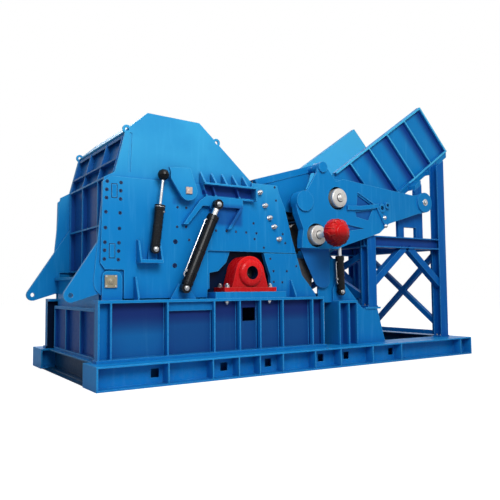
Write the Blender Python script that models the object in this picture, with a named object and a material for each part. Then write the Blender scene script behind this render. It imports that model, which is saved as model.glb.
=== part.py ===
"""Scrap metal hammer shredder on a steel skid, with a tilting housing and a roller feed arm.

Metres, +Z up. +X runs along the machine towards the feed chute and -Y is the side seen in front.
The origin is the middle of the skid at floor level.
"""
import math

import bmesh
import bpy
from mathutils import Vector

# Fits
SEAT = 0.0003
RUNNING = 0.0006
SWING = 0.012

# Skid
BASE_LENGTH = 9.26
BASE_WIDTH = 4.19
BASE_HEIGHT = 0.40
BEAM_WIDTH = 0.70
FLANGE = 0.030
WEB = 0.030
STIFFENER = 0.022
STIFFENER_STATIONS = (1.24, 2.094, 2.631, 3.088, 3.614, 4.407, 5.074, 5.973, 6.839, 8.867)
WEB_HOLE = 0.15
WEB_HOLE_STATIONS = (1.083, 2.434, 3.411, 4.711, 5.402, 6.72)
BOX_RECESS = 0.22
BELLY_PLATE = 0.012
BELLY_MARGIN = 0.03
CROSS_BEAM_WIDTH = 0.30
CROSS_STATIONS = (0.30, 4.63, 9.08)

# Pedestal that carries the housing and the rotor
PED_LEFT = -4.48
PED_RIGHT = 0.35
PED_TOP = 1.43
PED_FRONT = 1.694
PED_INNER = 1.514
PED_TOP_INNER = 1.384
PED_PLATE = 0.05
PED_WALL = 0.04
PED_RIB = 0.03
PED_RIBS = (-4.255, -3.221, -2.279, -1.723, -1.255, -0.713, 0.045)
PED_BASE_LIP = 0.03
PED_SHELF_LEFT = -3.88
PED_SHELF_INNER = 1.22
PED_HATCH = (-1.44, 1.116)
PED_HATCH_SIZE = (0.30, 0.258)
PED_GUSSET = -3.75
PED_GUSSET_TOP = 1.83
CASING_WALL = 1.24
CASING_WALL_PLATE = 0.04
CASING_WALL_TOP = 2.60
CASING_WALL_LEFT = -2.35
CASING_WALL_RIGHT = -0.60
CASING_SHAFT_GAP = 0.03
PED_STRIP = 0.06
PED_STRIP_DROP = 0.16
END_WALL_HALF = 1.285
END_WALL_OUTER = -4.40
END_WALL_DEPTH = 0.11
END_WALL_TOP = 1.86
END_RIB_Y = 0.46

# Housing side plates
HOOD_FRONT = 1.394
HOOD_PLATE = 0.040
OVERLAY = 0.050
HOUSING_LEFT = -4.33
OVERLAY_TOP = 3.58
OVERLAY_CHAMFER = 0.14
PLATE_FOOT = 0.020
HINGE = (-4.18, 1.75)
HINGE_PIN_R = 0.09
HINGE_PAD = 0.215
LUG_LEFT = 0.15
LUG_RIGHT = 0.21
LUG_TOP = 0.18
LUG_CORNER = 0.10
LUG_RIGHT_CORNER = 0.13
LUG_NOTCH_TOP = 0.205
LUG_NOTCH_RIGHT = 0.238
LUG_PROUD = 0.006
HINGE_BOSS = 0.28
OPEN_LEFT = -2.28
OPEN_INNER_EDGE = [(-2.22, 1.62), (-2.22, 1.915), (-2.03, 1.95), (-1.85, 2.12)]
OPEN_INNER_TOP = -1.76
OPEN_RIGHT_EDGE = [(-1.0, 2.32), (-0.945, 2.14), (-0.84, 1.85)]
SEAM_GAP = 0.008
EDGE_TOP = (-0.602, 3.553)
EDGE_UPPER = (-0.453, 3.252)
EDGE_MIDDLE = (-0.281, 2.634)
EDGE_SEAM = (-0.181, 2.328)
EDGE_LOWER = (-0.03, 1.886)
EDGE_FOOT = (0.314, 1.506)
NOSE_TOP = 3.72
HOOD_SHOULDER = (-4.10, 3.67)
HOOD_EAVE = (-3.905, 4.436)
HOOD_PEAK = (-3.49, 4.808)
HOOD_CREST = (-2.429, 4.777)
HOOD_SLOPE_END = (-1.313, 3.802)
ROOF_PLATE = 0.040
ROOF_MARGIN = 0.004
EAR_TIP = (-4.835, 1.518)
EAR_TIP_R = 0.12
EAR_HOLE_R = 0.042
EAR_ROOT = -4.10
EAR_PLATE = 0.05
EAR_TOP = 2.87
HOOD_END_X = -4.00
HOOD_END_PLATE = 0.04
HOOD_END_RIB = 0.10
HOOD_RIB_THICKNESS = 0.03
HOOD_END_BOTTOM = 1.97
HOOD_END_RAIL = 2.78
HOOD_END_MIDDLE = 0.31
LIFT_LUG_R = 0.08
LIFT_LUG_HOLE = 0.035
LIFT_LUG_EAVE = 0.03
LIFT_LUG_SLOPE = 0.50
HOOD_GROOVE = ((-3.833, 3.69), (-3.806, 4.40))
HOOD_GROOVE_WIDTH = 0.045
HOOD_GROOVE_DEPTH = 0.012

# Ribbed bracket under the lift cylinder's upper eye
BRACKET_FRONT = 1.654
BRACKET_LEFT = -2.45
BRACKET_RIGHT = -1.27
BRACKET_SHELF = 3.58
BRACKET_PLATE = 0.035
BRACKET_GUSSET = 0.25
BRACKET_GUSSETS = 5
ARCH_BACK = 0.110
ARCH_TOP = 3.36
ARCH_SOFFIT = 3.17
ARCH_RIGHT = -1.55
ARCH_FOOT_LEFT = (-2.84, 2.80)
ARCH_FOOT_RIGHT = (-1.86, 2.75)

# Rotor and its bearings
ROTOR = (-1.455, 1.915)
SHAFT_R = 0.13
SHAFT_HALF = 1.50
DISC_R = 0.66
DISC_THICKNESS = 0.10
DISC_COUNT = 7
DISC_SIDE_GAP = 0.19
DISC_HALF = CASING_WALL - DISC_SIDE_GAP
HUB_R = 0.26
HAMMER_TIP = 0.92
HAMMER_WIDTH = 0.22
BEARING_HALF_WIDTH = 0.595
BEARING_FOOT = 0.085
BEARING_ARCH_R = 0.325
BEARING_BOSS_R = 0.262
BEARING_BOSS = 0.05
BEARING_OUTER = 1.674
BEARING_INNER = 1.264
PAD_LEFT = -2.25
PAD_RIGHT = -0.63
PAD_TOP = 1.55

# Reject gate and its cylinders
GATE = (-2.78, 3.41)
GATE_SHAFT_R = 0.06
GATE_SQUARE = 0.12
GATE_BALL = (-3.27, 3.66)
LEVER_PLATE = 0.05
LEVER_OUTER = 1.63
LEVER_ROUND = 0.18
LEVER_GAP = 0.03
FLAP_LENGTH = 0.80
FLAP_PLATE = 0.08
GATE_EYE = (-3.43, 2.316)
GATE_CYL_Y = 1.60
GATE_BARREL_R = 0.085
GATE_ROD_R = 0.026
GATE_BARREL_TOP = 0.775
GATE_BALL_R = 0.105

# Lift cylinders
LIFT_CYL_Y = 1.675
LIFT_EYE = (-2.87, 1.629)
LIFT_TOP = (-2.19, 3.19)
LIFT_BARREL_R = 0.105
LIFT_ROD_R = 0.06
LIFT_EYE_R = 0.095
LIFT_BARREL_TOP = 1.43

# Feed arm
ARM_FRONT = 1.694
ARM_BACK = 1.494
ARM_PLATE_BACK = 1.644
ARM_BOX = ((1.45, 3.92), (1.57, 2.90), (1.45, 2.665), (1.068, 2.551), (0.75, 2.44), (-0.19, 2.44),
           (-0.19, 2.62),
           (-0.155, 2.82), (-0.295, 3.14), (-0.33, 3.36), (-0.16, 3.50), (0.06, 3.62), (0.36, 3.98),
           (0.56, 3.95))
ARM_POCKET = 0.035
ARM_GUSSET_POCKET = ((1.33, 3.40), (1.36, 3.66), (1.76, 3.47), (1.72, 3.43))
ARM_GUSSET_LIP = ((1.345, 3.70), (1.375, 3.715), (1.86, 3.485), (1.845, 3.465))
ARM_CHANNEL = ((1.02, 3.395), (1.42, 3.415), (1.96, 3.50), (1.98, 3.41), (1.45, 3.325), (1.02, 3.30))
ARM_CHANNEL_POCKET = ((1.29, 3.27), (1.80, 3.35), (1.67, 3.11), (1.32, 3.165))
ARM_LOWER_POCKET = ((0.98, 2.99), (1.53, 2.92), (0.98, 2.83))
ARM_LINK = ((1.92, 3.39), (1.99, 3.42), (2.235, 3.04), (2.165, 3.00))
ARM_EARS = (((2.07, 3.41), 0.095), ((2.246, 3.48), 0.075))
ARM_PIVOT = (3.52, 3.644)
ARM_PIVOT_R = 0.09
ARM_BOSS_R = 0.24
ARM_BOSS = 0.05
ROLLER_UPPER = (0.765, 3.535)
ROLLER_LOWER = (0.174, 2.713)
ROLLER_HALF = 1.08
ROLLER_R = 0.30
ROLLER_BAR = 0.05
ROLLER_BARS = 8
ROLLER_SHAFT_R = 0.075
ROLLER_HOLE_R = 0.25
ROLLER_CAP_R = 0.205
ROLLER_CAP = 0.09
ROLLER_CAP_BACK = 0.11
ROLLER_HUB_R = 0.07
ARM_CORNER_BOSS = (0.347, 4.169)
ARM_CORNER_R = 0.115
ARM_SIDE_BOSS = (-0.146, 3.41)
ARM_SIDE_R = 0.215
SHIELD_PLATE = 0.03
SHIELD_LEFT = ((-0.20, 2.50), (-0.12, 2.435), (0.02, 2.156), (0.276, 1.693), (0.36, 1.635))
SHIELD_FOOT = ((0.45, 1.612), (0.55, 1.62), (0.63, 1.67), (0.667, 1.74))
THROAT_OUTER = 1.444
THROAT_PLATE = 0.04
THROAT_LEFT = 0.40
THROAT_RIGHT = 0.95
THROAT_TOP = 2.25
COVER_HALF = 1.304
COVER_PLATE = 0.03
COVER_BEAM = 0.14
COVER_LEFT = (-1.10, 3.84)
MOTOR_R = 0.275
MOTOR_INNER = 2.16
MOTOR_DEPTH = 0.36
MOTOR_SOCKET = 0.08
SHAFT_END_GAP = 0.02
MOTOR_LOBES = 10
TORQUE_ARM = 0.31
ARM_CYL_Y = 1.594
ARM_EYE = (0.92, 1.527)
ARM_TOP = (0.88, 2.60)
ARM_BARREL_R = 0.085
ARM_ROD_R = 0.045
ARM_BARREL_TOP = 0.74

# Tower, stand and right pedestal
TOWER_OUTER = 1.634
TOWER_INNER = 1.394
POST_WIDTH = 0.25
POST_FLANGE = 0.03
POST_LEFT = 1.70
POST_RIGHT = 4.12
TOWER_BEAM_BOTTOM = 2.53
TOWER_BEAM_TOP = 2.79
WEDGE_TOP = 1.15
WEDGE_LEFT = 1.52
WEDGE_FOOT = 2.18
FOOT_PLATE = 0.03
BRACE = 0.16
LEFT_BRACES = ((1.40, 1.0), (2.35, 1.1, 1.45))
RIGHT_BRACES = ((0.76, 1.0), (2.40, 0.95, 0.46))
KNEE_Z = 1.74
STAND_OUTER = 1.484
STAND_POSTS = ((-0.65, -0.47), (-0.045, 0.195))
STAND_BLOCK_DROP = 0.594
STAND_BLOCK = ((-0.62, -0.434), (0.26, -0.214))
BEARER_TOP = 0.03
BEARER_MARGIN = 0.02
POST_RISE = 0.04
BOX_LEFT = 0.77
BOX_RIGHT = 1.30
BOX_TOP = 1.335
BOX_INNER = 1.20
CYL_GUSSET_TOP = 1.80

# Feed chute
CHUTE_OUTER = 1.264
CHUTE_WALL = 1.144
CHUTE_PLATE = 0.03
CHUTE_PEAK = (3.996, 6.191)
CHUTE_LIP = (5.0, 5.173)
CHUTE_LEFT = 1.12
CHUTE_SLOPE = 0.688
CHUTE_FLANGE = 0.045
CHUTE_RIBS = (0.61, 1.23, 1.84, 2.45)
CHUTE_RIB = 0.03
CHUTE_FLOOR = 0.04
FLOOR_LEFT = 0.42
LONGERON = 0.12
LONGERON_SETBACK = 0.015

PIN_R = 0.036
PIN_GAP = 0.008
COLLAR = 0.012
EYE_R = 0.08
ROUND = 24
PIN_SIDES = 16

PAINT = (0.010, 0.240, 0.600, 1.0)
RED = (0.72, 0.010, 0.014, 1.0)
BLACK = (0.012, 0.013, 0.015, 1.0)
STEEL = (0.60, 0.60, 0.58, 1.0)
BRONZE = (0.46, 0.35, 0.16, 1.0)
DARK_STEEL = (0.16, 0.16, 0.17, 1.0)


def clear_scene():
    for thing in list(bpy.data.objects):
        bpy.data.objects.remove(thing, do_unlink=True)


def material(name, colour, roughness, metallic):
    made = bpy.data.materials.new(name)
    made.use_nodes = True
    shader = made.node_tree.nodes["Principled BSDF"]
    shader.inputs["Base Color"].default_value = colour
    shader.inputs["Roughness"].default_value = roughness
    shader.inputs["Metallic"].default_value = metallic
    return made


def paint(name):
    return material(name + "_paint", PAINT, 0.28, 0.0)


def prism(outline, low, high, axis="y"):
    """A flat outline pushed through the machine along one axis."""
    low, high = min(low, high), max(low, high)
    place = {
        "x": lambda a, b, t: (t, a, b),
        "y": lambda a, b, t: (a, t, b),
        "z": lambda a, b, t: (a, b, t),
    }[axis]
    shape = bmesh.new()
    near = [shape.verts.new(place(a, b, low)) for a, b in outline]
    far = [shape.verts.new(place(a, b, high)) for a, b in outline]
    shape.faces.new(near)
    shape.faces.new(list(reversed(far)))
    for i in range(len(outline)):
        j = (i + 1) % len(outline)
        shape.faces.new((near[i], far[i], far[j], near[j]))
    bmesh.ops.recalc_face_normals(shape, faces=shape.faces)
    return shape


def block(x, y, z):
    """A box from three (low, high) pairs."""
    return prism([(x[0], z[0]), (x[1], z[0]), (x[1], z[1]), (x[0], z[1])], y[0], y[1])


def arc(centre, radius, start, end, steps):
    """Points on an arc in the XZ plane, angles in degrees."""
    points = []
    for i in range(steps + 1):
        angle = math.radians(start + (end - start) * i / steps)
        points.append((centre[0] + radius * math.cos(angle), centre[1] + radius * math.sin(angle)))
    return points


def disc(centre, radius, y0, y1, sides=ROUND):
    """A round bar along Y."""
    return prism(arc(centre, radius, 0.0, 360.0 - 360.0 / sides, sides - 1), y0, y1)


def bore(centre, radius, y0, y1, sides=ROUND):
    """A round hole along Y for a bar of this radius, with its flats clear of the bar at any turn."""
    half = 180.0 / sides
    wide = (radius + RUNNING) / math.cos(math.radians(half))
    return prism(arc(centre, wide, half, 360.0 - half, sides - 1), y0, y1)


def bar(start, end, radius, y, sides=PIN_SIDES):
    """A round bar in the XZ plane between two points."""
    way = Vector((end[0] - start[0], 0.0, end[1] - start[1]))
    shape = bmesh.new()
    bmesh.ops.create_cone(shape, cap_ends=True, segments=sides, radius1=radius, radius2=radius,
                          depth=way.length)
    turn = Vector((0.0, 0.0, 1.0)).rotation_difference(way).to_matrix().to_4x4()
    middle = Vector(((start[0] + end[0]) / 2, y, (start[1] + end[1]) / 2))
    bmesh.ops.transform(shape, matrix=turn, verts=shape.verts)
    bmesh.ops.translate(shape, vec=middle, verts=shape.verts)
    return shape


def revolve(centre, profile, side, sides=ROUND, lobe=1.0):
    """A body turned about Y from (y, radius) steps; drawing in every other corner makes lobes."""
    shape = bmesh.new()
    rings = []
    for y, radius in profile:
        ring = []
        for i in range(sides):
            angle = 2.0 * math.pi * i / sides
            reach = radius * (lobe if i % 2 else 1.0)
            ring.append(shape.verts.new((centre[0] + reach * math.cos(angle), side * y,
                                         centre[1] + reach * math.sin(angle))))
        rings.append(ring)
    shape.faces.new(rings[0])
    shape.faces.new(rings[-1])
    for near, far in zip(rings, rings[1:]):
        for i in range(sides):
            j = (i + 1) % sides
            shape.faces.new((near[i], near[j], far[j], far[i]))
    bmesh.ops.recalc_face_normals(shape, faces=shape.faces)
    return shape


def strut(start, end, width, low, high, axis="y"):
    """A straight flat bar between two points of an outline plane."""
    run = Vector((end[0] - start[0], end[1] - start[1])).normalized() * (width / 2)
    side = Vector((-run.y, run.x))
    corners = [(start[0] + side.x, start[1] + side.y), (end[0] + side.x, end[1] + side.y),
               (end[0] - side.x, end[1] - side.y), (start[0] - side.x, start[1] - side.y)]
    return prism(corners, low, high, axis)


def as_object(name, shape):
    mesh = bpy.data.meshes.new(name)
    shape.to_mesh(mesh)
    shape.free()
    made = bpy.data.objects.new(name, mesh)
    bpy.context.scene.collection.objects.link(made)
    return made


def change(body, operation, shapes):
    """Weld the shapes to a body, or take them out of it, all in one Boolean."""
    if not shapes:
        return
    group = bpy.data.collections.new("tools")
    bpy.context.scene.collection.children.link(group)
    tools = [as_object("tool", shape) for shape in shapes]
    for tool in tools:
        bpy.context.scene.collection.objects.unlink(tool)
        group.objects.link(tool)
    modifier = body.modifiers.new(operation.lower(), "BOOLEAN")
    modifier.operation = operation
    modifier.solver = "EXACT"
    modifier.operand_type = "COLLECTION"
    modifier.collection = group
    made = bpy.data.meshes.new_from_object(body.evaluated_get(bpy.context.evaluated_depsgraph_get()))
    body.modifiers.clear()
    old = body.data
    body.data = made
    bpy.data.meshes.remove(old)
    for tool in tools:
        bpy.data.objects.remove(tool, do_unlink=True)
    bpy.data.collections.remove(group)


def piece(name, shapes, cuts=(), finish=None, origin=(0.0, 0.0, 0.0), smooth=False, first_cuts=()):
    """One closed body: the first shape less its own cuts, the others welded on, then the last cuts."""
    body = as_object(name, shapes[0])
    change(body, "DIFFERENCE", first_cuts)
    change(body, "UNION", shapes[1:])
    change(body, "DIFFERENCE", cuts)
    body.name = name
    body.data.name = name
    shift = Vector(origin)
    for vertex in body.data.vertices:
        vertex.co -= shift
    body.location = shift
    if smooth:
        body.data.shade_smooth()
        body.data.set_sharp_from_angle(angle=math.radians(35.0))
    body.data.materials.clear()
    body.data.materials.append(finish or paint(name))
    return body


def station(distance):
    """X of a point given as a distance from the skid's left end."""
    return distance - BASE_LENGTH / 2


def along(start, end, distance):
    """The point at a distance from start towards end."""
    length = math.dist(start, end)
    return (start[0] + (end[0] - start[0]) * distance / length,
            start[1] + (end[1] - start[1]) * distance / length)


def beam_section(x, y, z, web_axis):
    """An I section: two flanges and a web. web_axis says along which axis the flanges are wide."""
    shapes = [block(x, y, (z[0], z[0] + FLANGE)), block(x, y, (z[1] - FLANGE, z[1]))]
    if web_axis == "y":
        middle = (y[0] + y[1]) / 2
        shapes.append(block(x, (middle - WEB / 2, middle + WEB / 2), z))
    else:
        middle = (x[0] + x[1]) / 2
        shapes.append(block((middle - WEB / 2, middle + WEB / 2), y, z))
    return shapes


def base_beam(name, side):
    """Box beam along one side of the skid: two webs set in from the flanges, stiffeners and holes outside."""
    left, right = -BASE_LENGTH / 2, BASE_LENGTH / 2
    outer, inner = side * BASE_WIDTH / 2, side * (BASE_WIDTH / 2 - BEAM_WIDTH)
    outer_web = side * (BASE_WIDTH / 2 - BOX_RECESS)
    inner_web = side * (BASE_WIDTH / 2 - BEAM_WIDTH + BOX_RECESS)
    z = (0.0, BASE_HEIGHT)
    shapes = [block((left, right), (outer, inner), (0.0, FLANGE)),
              block((left, right), (outer, inner), (BASE_HEIGHT - FLANGE, BASE_HEIGHT)),
              block((left, right), (outer_web, outer_web - side * WEB), z),
              block((left, right), (inner_web, inner_web + side * WEB), z)]
    for x in (left, right - WEB):
        shapes.append(block((x, x + WEB), (outer, inner), z))
    for distance in STIFFENER_STATIONS:
        x = station(distance)
        shapes.append(block((x - STIFFENER / 2, x + STIFFENER / 2), (outer, outer_web), z))
    cuts = []
    low = BASE_HEIGHT / 2 - WEB_HOLE / 2
    for distance in WEB_HOLE_STATIONS:
        x = station(distance)
        cuts.append(block((x - WEB_HOLE / 2, x + WEB_HOLE / 2),
                          (outer_web + side * WEB, outer_web - side * 2 * WEB),
                          (low, low + WEB_HOLE)))
    piece(name, shapes, cuts)


def cross_frame(name):
    """The cross beams between the two side beams, with the thin plate that closes the skid's underside."""
    half = BASE_WIDTH / 2 - BEAM_WIDTH - SEAT
    end = BASE_LENGTH / 2 - BELLY_MARGIN
    shapes = [block((-end, end), (-half, half), (0.0, BELLY_PLATE))]
    for distance in CROSS_STATIONS:
        x = station(distance)
        span = (x - CROSS_BEAM_WIDTH / 2, x + CROSS_BEAM_WIDTH / 2)
        shapes += beam_section(span, (-half, half), (0.0, BASE_HEIGHT), "x")
    piece(name, shapes)


def pedestal(name, side):
    """Ribbed wall under one side of the housing, with hinge lug, bearing pad and rotor casing wall."""
    floor = BASE_HEIGHT + SEAT
    front, inner = side * PED_FRONT, side * PED_INNER
    under_top = PED_TOP - PED_PLATE
    wall = side * (PED_INNER + PED_WALL)
    shapes = [block((PED_LEFT, PED_RIGHT), (front, side * PED_TOP_INNER), (under_top, PED_TOP)),
              block((PED_SHELF_LEFT, PED_RIGHT), (front, side * PED_SHELF_INNER), (under_top, PED_TOP)),
              block((PED_LEFT - PED_BASE_LIP, PED_RIGHT + PED_BASE_LIP),
                    (side * (PED_FRONT + PED_BASE_LIP), inner),
                    (floor, floor + PED_PLATE)),
              block((PED_LEFT, PED_RIGHT), (wall, inner), (floor, PED_TOP))]
    for x in (PED_LEFT, PED_RIGHT - PED_RIB):
        shapes.append(block((x, x + PED_RIB), (front, inner), (floor, PED_TOP)))
    for x in PED_RIBS:
        shapes.append(block((x - PED_RIB / 2, x + PED_RIB / 2), (front, inner), (floor, PED_TOP)))
    strip_y = wall + side * PED_STRIP
    shapes.append(block((PED_RIBS[1], PED_RIBS[2]), (strip_y, inner),
                        (under_top - PED_STRIP_DROP, PED_TOP)))
    shapes.append(block((PAD_LEFT, PAD_RIGHT), (side * (BEARING_OUTER + 0.01),
                                                side * (BEARING_INNER - 0.01)),
                        (PED_TOP - PED_PLATE / 2, PAD_TOP)))
    shapes.append(hinge_lug(side))
    foot = PED_TOP - PED_PLATE / 2
    back = HOOD_FRONT + OVERLAY + SWING
    fin = [(side * back, foot), (side * (PED_FRONT - 0.04), foot),
           (side * (PED_FRONT - 0.04), PED_TOP + 0.05),
           (side * (back + 0.06), PED_GUSSET_TOP), (side * back, PED_GUSSET_TOP)]
    shapes.append(prism(fin, PED_GUSSET - PED_RIB / 2, PED_GUSSET + PED_RIB / 2, "x"))
    lug_y = lug_face(LIFT_CYL_Y, LIFT_BARREL_R)
    shapes.append(prism([(LIFT_EYE[0] - 0.25, foot), (LIFT_EYE[0] + 0.30, foot),
                         (LIFT_EYE[0] + 0.09, LIFT_EYE[1] + 0.08),
                         (LIFT_EYE[0] - 0.07, LIFT_EYE[1] + 0.08)], side * (lug_y - PED_RIB), side * lug_y))
    corner = (CASING_WALL_RIGHT - CASING_WALL_LEFT) * 0.2
    shoulder = CASING_WALL_TOP - corner
    shapes.append(prism([(CASING_WALL_LEFT, foot), (CASING_WALL_RIGHT, foot), (CASING_WALL_RIGHT, shoulder),
                         (CASING_WALL_RIGHT - corner, CASING_WALL_TOP),
                         (CASING_WALL_LEFT + corner, CASING_WALL_TOP),
                         (CASING_WALL_LEFT, shoulder)], side * (CASING_WALL - CASING_WALL_PLATE),
                         side * CASING_WALL))
    width, height = PED_HATCH_SIZE
    cuts = [block((PED_HATCH[0] - width / 2, PED_HATCH[0] + width / 2),
                  (side * (PED_INNER - 0.05), wall + side * 0.05),
                  (PED_HATCH[1] - height / 2, PED_HATCH[1] + height / 2)),
            disc(ROTOR, SHAFT_R + CASING_SHAFT_GAP, side * (CASING_WALL - 0.10),
                 side * (CASING_WALL + 0.02)),
            bore(LIFT_EYE, PIN_R, side * (lug_y - 0.06), side * (lug_y + 0.03), 12),
            bore(HINGE, HINGE_PIN_R, side * (HOOD_FRONT + SEAT), side * (PED_FRONT + 0.05), PIN_SIDES)]
    piece(name, shapes, cuts)


def hinge_lug(side):
    """Fixed lug beside the housing plate, round at its top corners so that the plate swings past it."""
    left, right = HINGE[0] - LUG_LEFT, HINGE[0] + LUG_RIGHT
    top = HINGE[1] + LUG_TOP
    outline = [(left, PED_TOP - PED_PLATE / 2), (right, PED_TOP - PED_PLATE / 2)]
    outline += arc((right - LUG_RIGHT_CORNER, top - LUG_RIGHT_CORNER), LUG_RIGHT_CORNER, 0.0, 90.0, 5)
    outline += arc((left + LUG_CORNER, top - LUG_CORNER), LUG_CORNER, 90.0, 180.0, 5)
    return prism(outline, side * (HOOD_FRONT + LUG_PROUD), side * (HOOD_FRONT + OVERLAY))


def hinge_pin(name, side):
    """Pin through the lug and the housing plate, with a square keeper plate on its outer end."""
    face = HOOD_FRONT + OVERLAY + SEAT
    half = HINGE_PAD / 2
    shapes = [block((HINGE[0] - half, HINGE[0] + half), (side * face, side * (face + 0.03)),
                    (HINGE[1] - half, HINGE[1] + half)),
              disc(HINGE, HINGE_PIN_R, side * (HOOD_FRONT - HOOD_PLATE), side * (face + 0.03), PIN_SIDES)]
    piece(name, shapes, finish=material(name + "_bronze", BRONZE, 0.38, 0.9))


def pedestal_end(name):
    """Ribbed wall across the left end, between the two side pedestals."""
    floor = BASE_HEIGHT + SEAT
    half = END_WALL_HALF
    back = END_WALL_OUTER + END_WALL_DEPTH
    shapes = [block((back - PED_WALL, back), (-half, half), (floor, END_WALL_TOP)),
              block((END_WALL_OUTER, back), (-half, half), (floor, floor + PED_PLATE)),
              block((END_WALL_OUTER, back), (-half, half), (PED_TOP - 0.20, PED_TOP - 0.14)),
              block((END_WALL_OUTER, back), (-half, half), (END_WALL_TOP - PED_PLATE, END_WALL_TOP))]
    for y in (-half + PED_RIB / 2, -END_RIB_Y, END_RIB_Y, half - PED_RIB / 2):
        shapes.append(block((END_WALL_OUTER, back), (y - PED_RIB / 2, y + PED_RIB / 2),
                            (floor, PED_TOP - 0.17)))
    piece(name, shapes)


def pedestal_back(name):
    """Plain wall across the right end of the pedestal, under the anvil."""
    half = PED_INNER - SEAT
    floor = BASE_HEIGHT + SEAT
    inner = PED_RIGHT - 0.30
    shapes = [block((inner, inner + PED_WALL), (-half, half), (floor, PED_TOP - PED_PLATE - SEAT)),
              block((inner - 0.08, inner + 0.12), (-half, half), (floor, floor + PED_PLATE))]
    piece(name, shapes)


def housing_side(name, side):
    """Tilting side plate: the hood plate, the thicker plate bolted over it, the ear and the lifting lugs."""
    foot = PED_TOP + PLATE_FOOT
    seam = EDGE_SEAM[1] + SEAM_GAP
    inner = HOOD_FRONT - HOOD_PLATE
    nose = [EDGE_TOP, (EDGE_TOP[0] - 0.05, NOSE_TOP)]
    right = [(EDGE_SEAM[0], seam), EDGE_MIDDLE, EDGE_UPPER] + nose
    low_right = (OPEN_LEFT - 0.015, PAD_TOP + 0.03)
    hood = arc(HINGE, HINGE_BOSS, 180.0, 290.0, 8) + [(HINGE[0] + 0.35, foot), (low_right[0], foot),
                                                      low_right]
    hood += OPEN_INNER_EDGE + [(OPEN_INNER_TOP, seam)] + right
    hood += [(HOOD_SLOPE_END[0] + 0.09, NOSE_TOP), HOOD_SLOPE_END, HOOD_CREST, HOOD_PEAK, HOOD_EAVE,
             HOOD_SHOULDER,
             (HOUSING_LEFT + 0.04, OVERLAY_TOP - 0.02)]
    notch_top = HINGE[1] + LUG_NOTCH_TOP
    notch_right = HINGE[0] + LUG_NOTCH_RIGHT
    over = [(notch_right, foot), (low_right[0], foot), low_right, (OPEN_LEFT, low_right[1] + 0.03)]
    over += [(OPEN_LEFT, seam)] + right
    over += [(HOOD_SLOPE_END[0] + 0.04, NOSE_TOP), (HOOD_SLOPE_END[0] + 0.04, OVERLAY_TOP),
             (HOUSING_LEFT + OVERLAY_CHAMFER, OVERLAY_TOP),
             (HOUSING_LEFT, OVERLAY_TOP - OVERLAY_CHAMFER * 0.8),
             (HOUSING_LEFT - 0.03, notch_top + 0.11), (HOUSING_LEFT + 0.05, notch_top),
             (notch_right, notch_top)]
    shapes = [prism(hood, side * inner, side * HOOD_FRONT),
              prism(over, side * (HOOD_FRONT - HOOD_PLATE / 2), side * (HOOD_FRONT + OVERLAY))]
    ear = arc(EAR_TIP, EAR_TIP_R, 146.0, 282.0, 10)
    back = HOOD_END_X + HOOD_END_PLATE
    top = HOOD_EAVE[0] + 0.01
    ear += [(-4.30, 1.56), (-4.30, HOOD_END_BOTTOM), (back, HOOD_END_BOTTOM), (back, HOOD_SHOULDER[1]),
            (top + 0.12, under_roof(top + 0.12)), (top, under_roof(top)),
            (HOOD_SHOULDER[0] + 0.01, HOOD_SHOULDER[1]),
            (EAR_ROOT, EAR_TOP)]
    shapes.append(prism(ear, side * (inner - EAR_PLATE), side * (inner + HOOD_PLATE / 2)))
    lugs = (along(HOOD_EAVE, HOOD_PEAK, LIFT_LUG_EAVE), along(HOOD_CREST, HOOD_SLOPE_END, LIFT_LUG_SLOPE))
    for centre in lugs:
        shapes.append(disc(centre, LIFT_LUG_R, side * (inner + 0.004), side * (HOOD_FRONT - 0.004),
                           PIN_SIDES))
    left, right_end = GATE_EYE[0] - 0.29, GATE_EYE[0] + 0.14
    reach = GATE_CYL_Y + 0.06
    shapes.append(block((left, right_end), (side * HOOD_FRONT, side * reach), (2.07, 2.13)))
    lug_y = lug_face(GATE_CYL_Y, GATE_BARREL_R)
    shapes.append(prism([(GATE_EYE[0] - 0.09, 2.10), (right_end - 0.04, 2.10),
                         (GATE_EYE[0] + 0.07, GATE_EYE[1] + 0.07),
                         (GATE_EYE[0] - 0.07, GATE_EYE[1] + 0.07)], side * (lug_y - 0.03), side * lug_y))
    for x in (left, right_end - 0.03):
        shapes.append(prism([(HOOD_FRONT * side, 2.10), (reach * side, 2.10), ((reach - 0.12) * side, 2.46),
                             (HOOD_FRONT * side, 2.50)], x, x + 0.03, "x"))
    cuts = [bore(HINGE, HINGE_PIN_R, side * (inner - 0.05), side * (HOOD_FRONT + 0.05), PIN_SIDES),
            bore(GATE, GATE_SHAFT_R, side * (inner - 0.05), side * (HOOD_FRONT + OVERLAY + 0.05),
                 PIN_SIDES),
            bore(GATE_EYE, PIN_R, side * (lug_y - 0.05), side * (lug_y + 0.02), 12),
            disc(EAR_TIP, EAR_HOLE_R, side * (inner - 0.10), side * (inner + 0.10), 12),
            strut(*HOOD_GROOVE, HOOD_GROOVE_WIDTH, side * (HOOD_FRONT - HOOD_GROOVE_DEPTH),
                  side * (HOOD_FRONT + 0.01))]
    for centre in lugs:
        cuts.append(disc(centre, LIFT_LUG_HOLE, side * (inner - 0.02), side * (HOOD_FRONT + 0.02), 12))
    piece(name, shapes, cuts, origin=(HINGE[0], 0.0, HINGE[1]))


def offset_line(points, distance):
    """The same open line moved sideways by a distance, mitred at its corners."""
    moved = []
    for i, point in enumerate(points):
        ways = []
        if i > 0:
            ways.append((Vector(point) - Vector(points[i - 1])).normalized())
        if i < len(points) - 1:
            ways.append((Vector(points[i + 1]) - Vector(point)).normalized())
        normals = [Vector((-way.y, way.x)) for way in ways]
        mean = sum(normals, Vector((0.0, 0.0))).normalized()
        moved.append(tuple(Vector(point) + mean * (distance / mean.dot(normals[0]))))
    return moved


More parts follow.
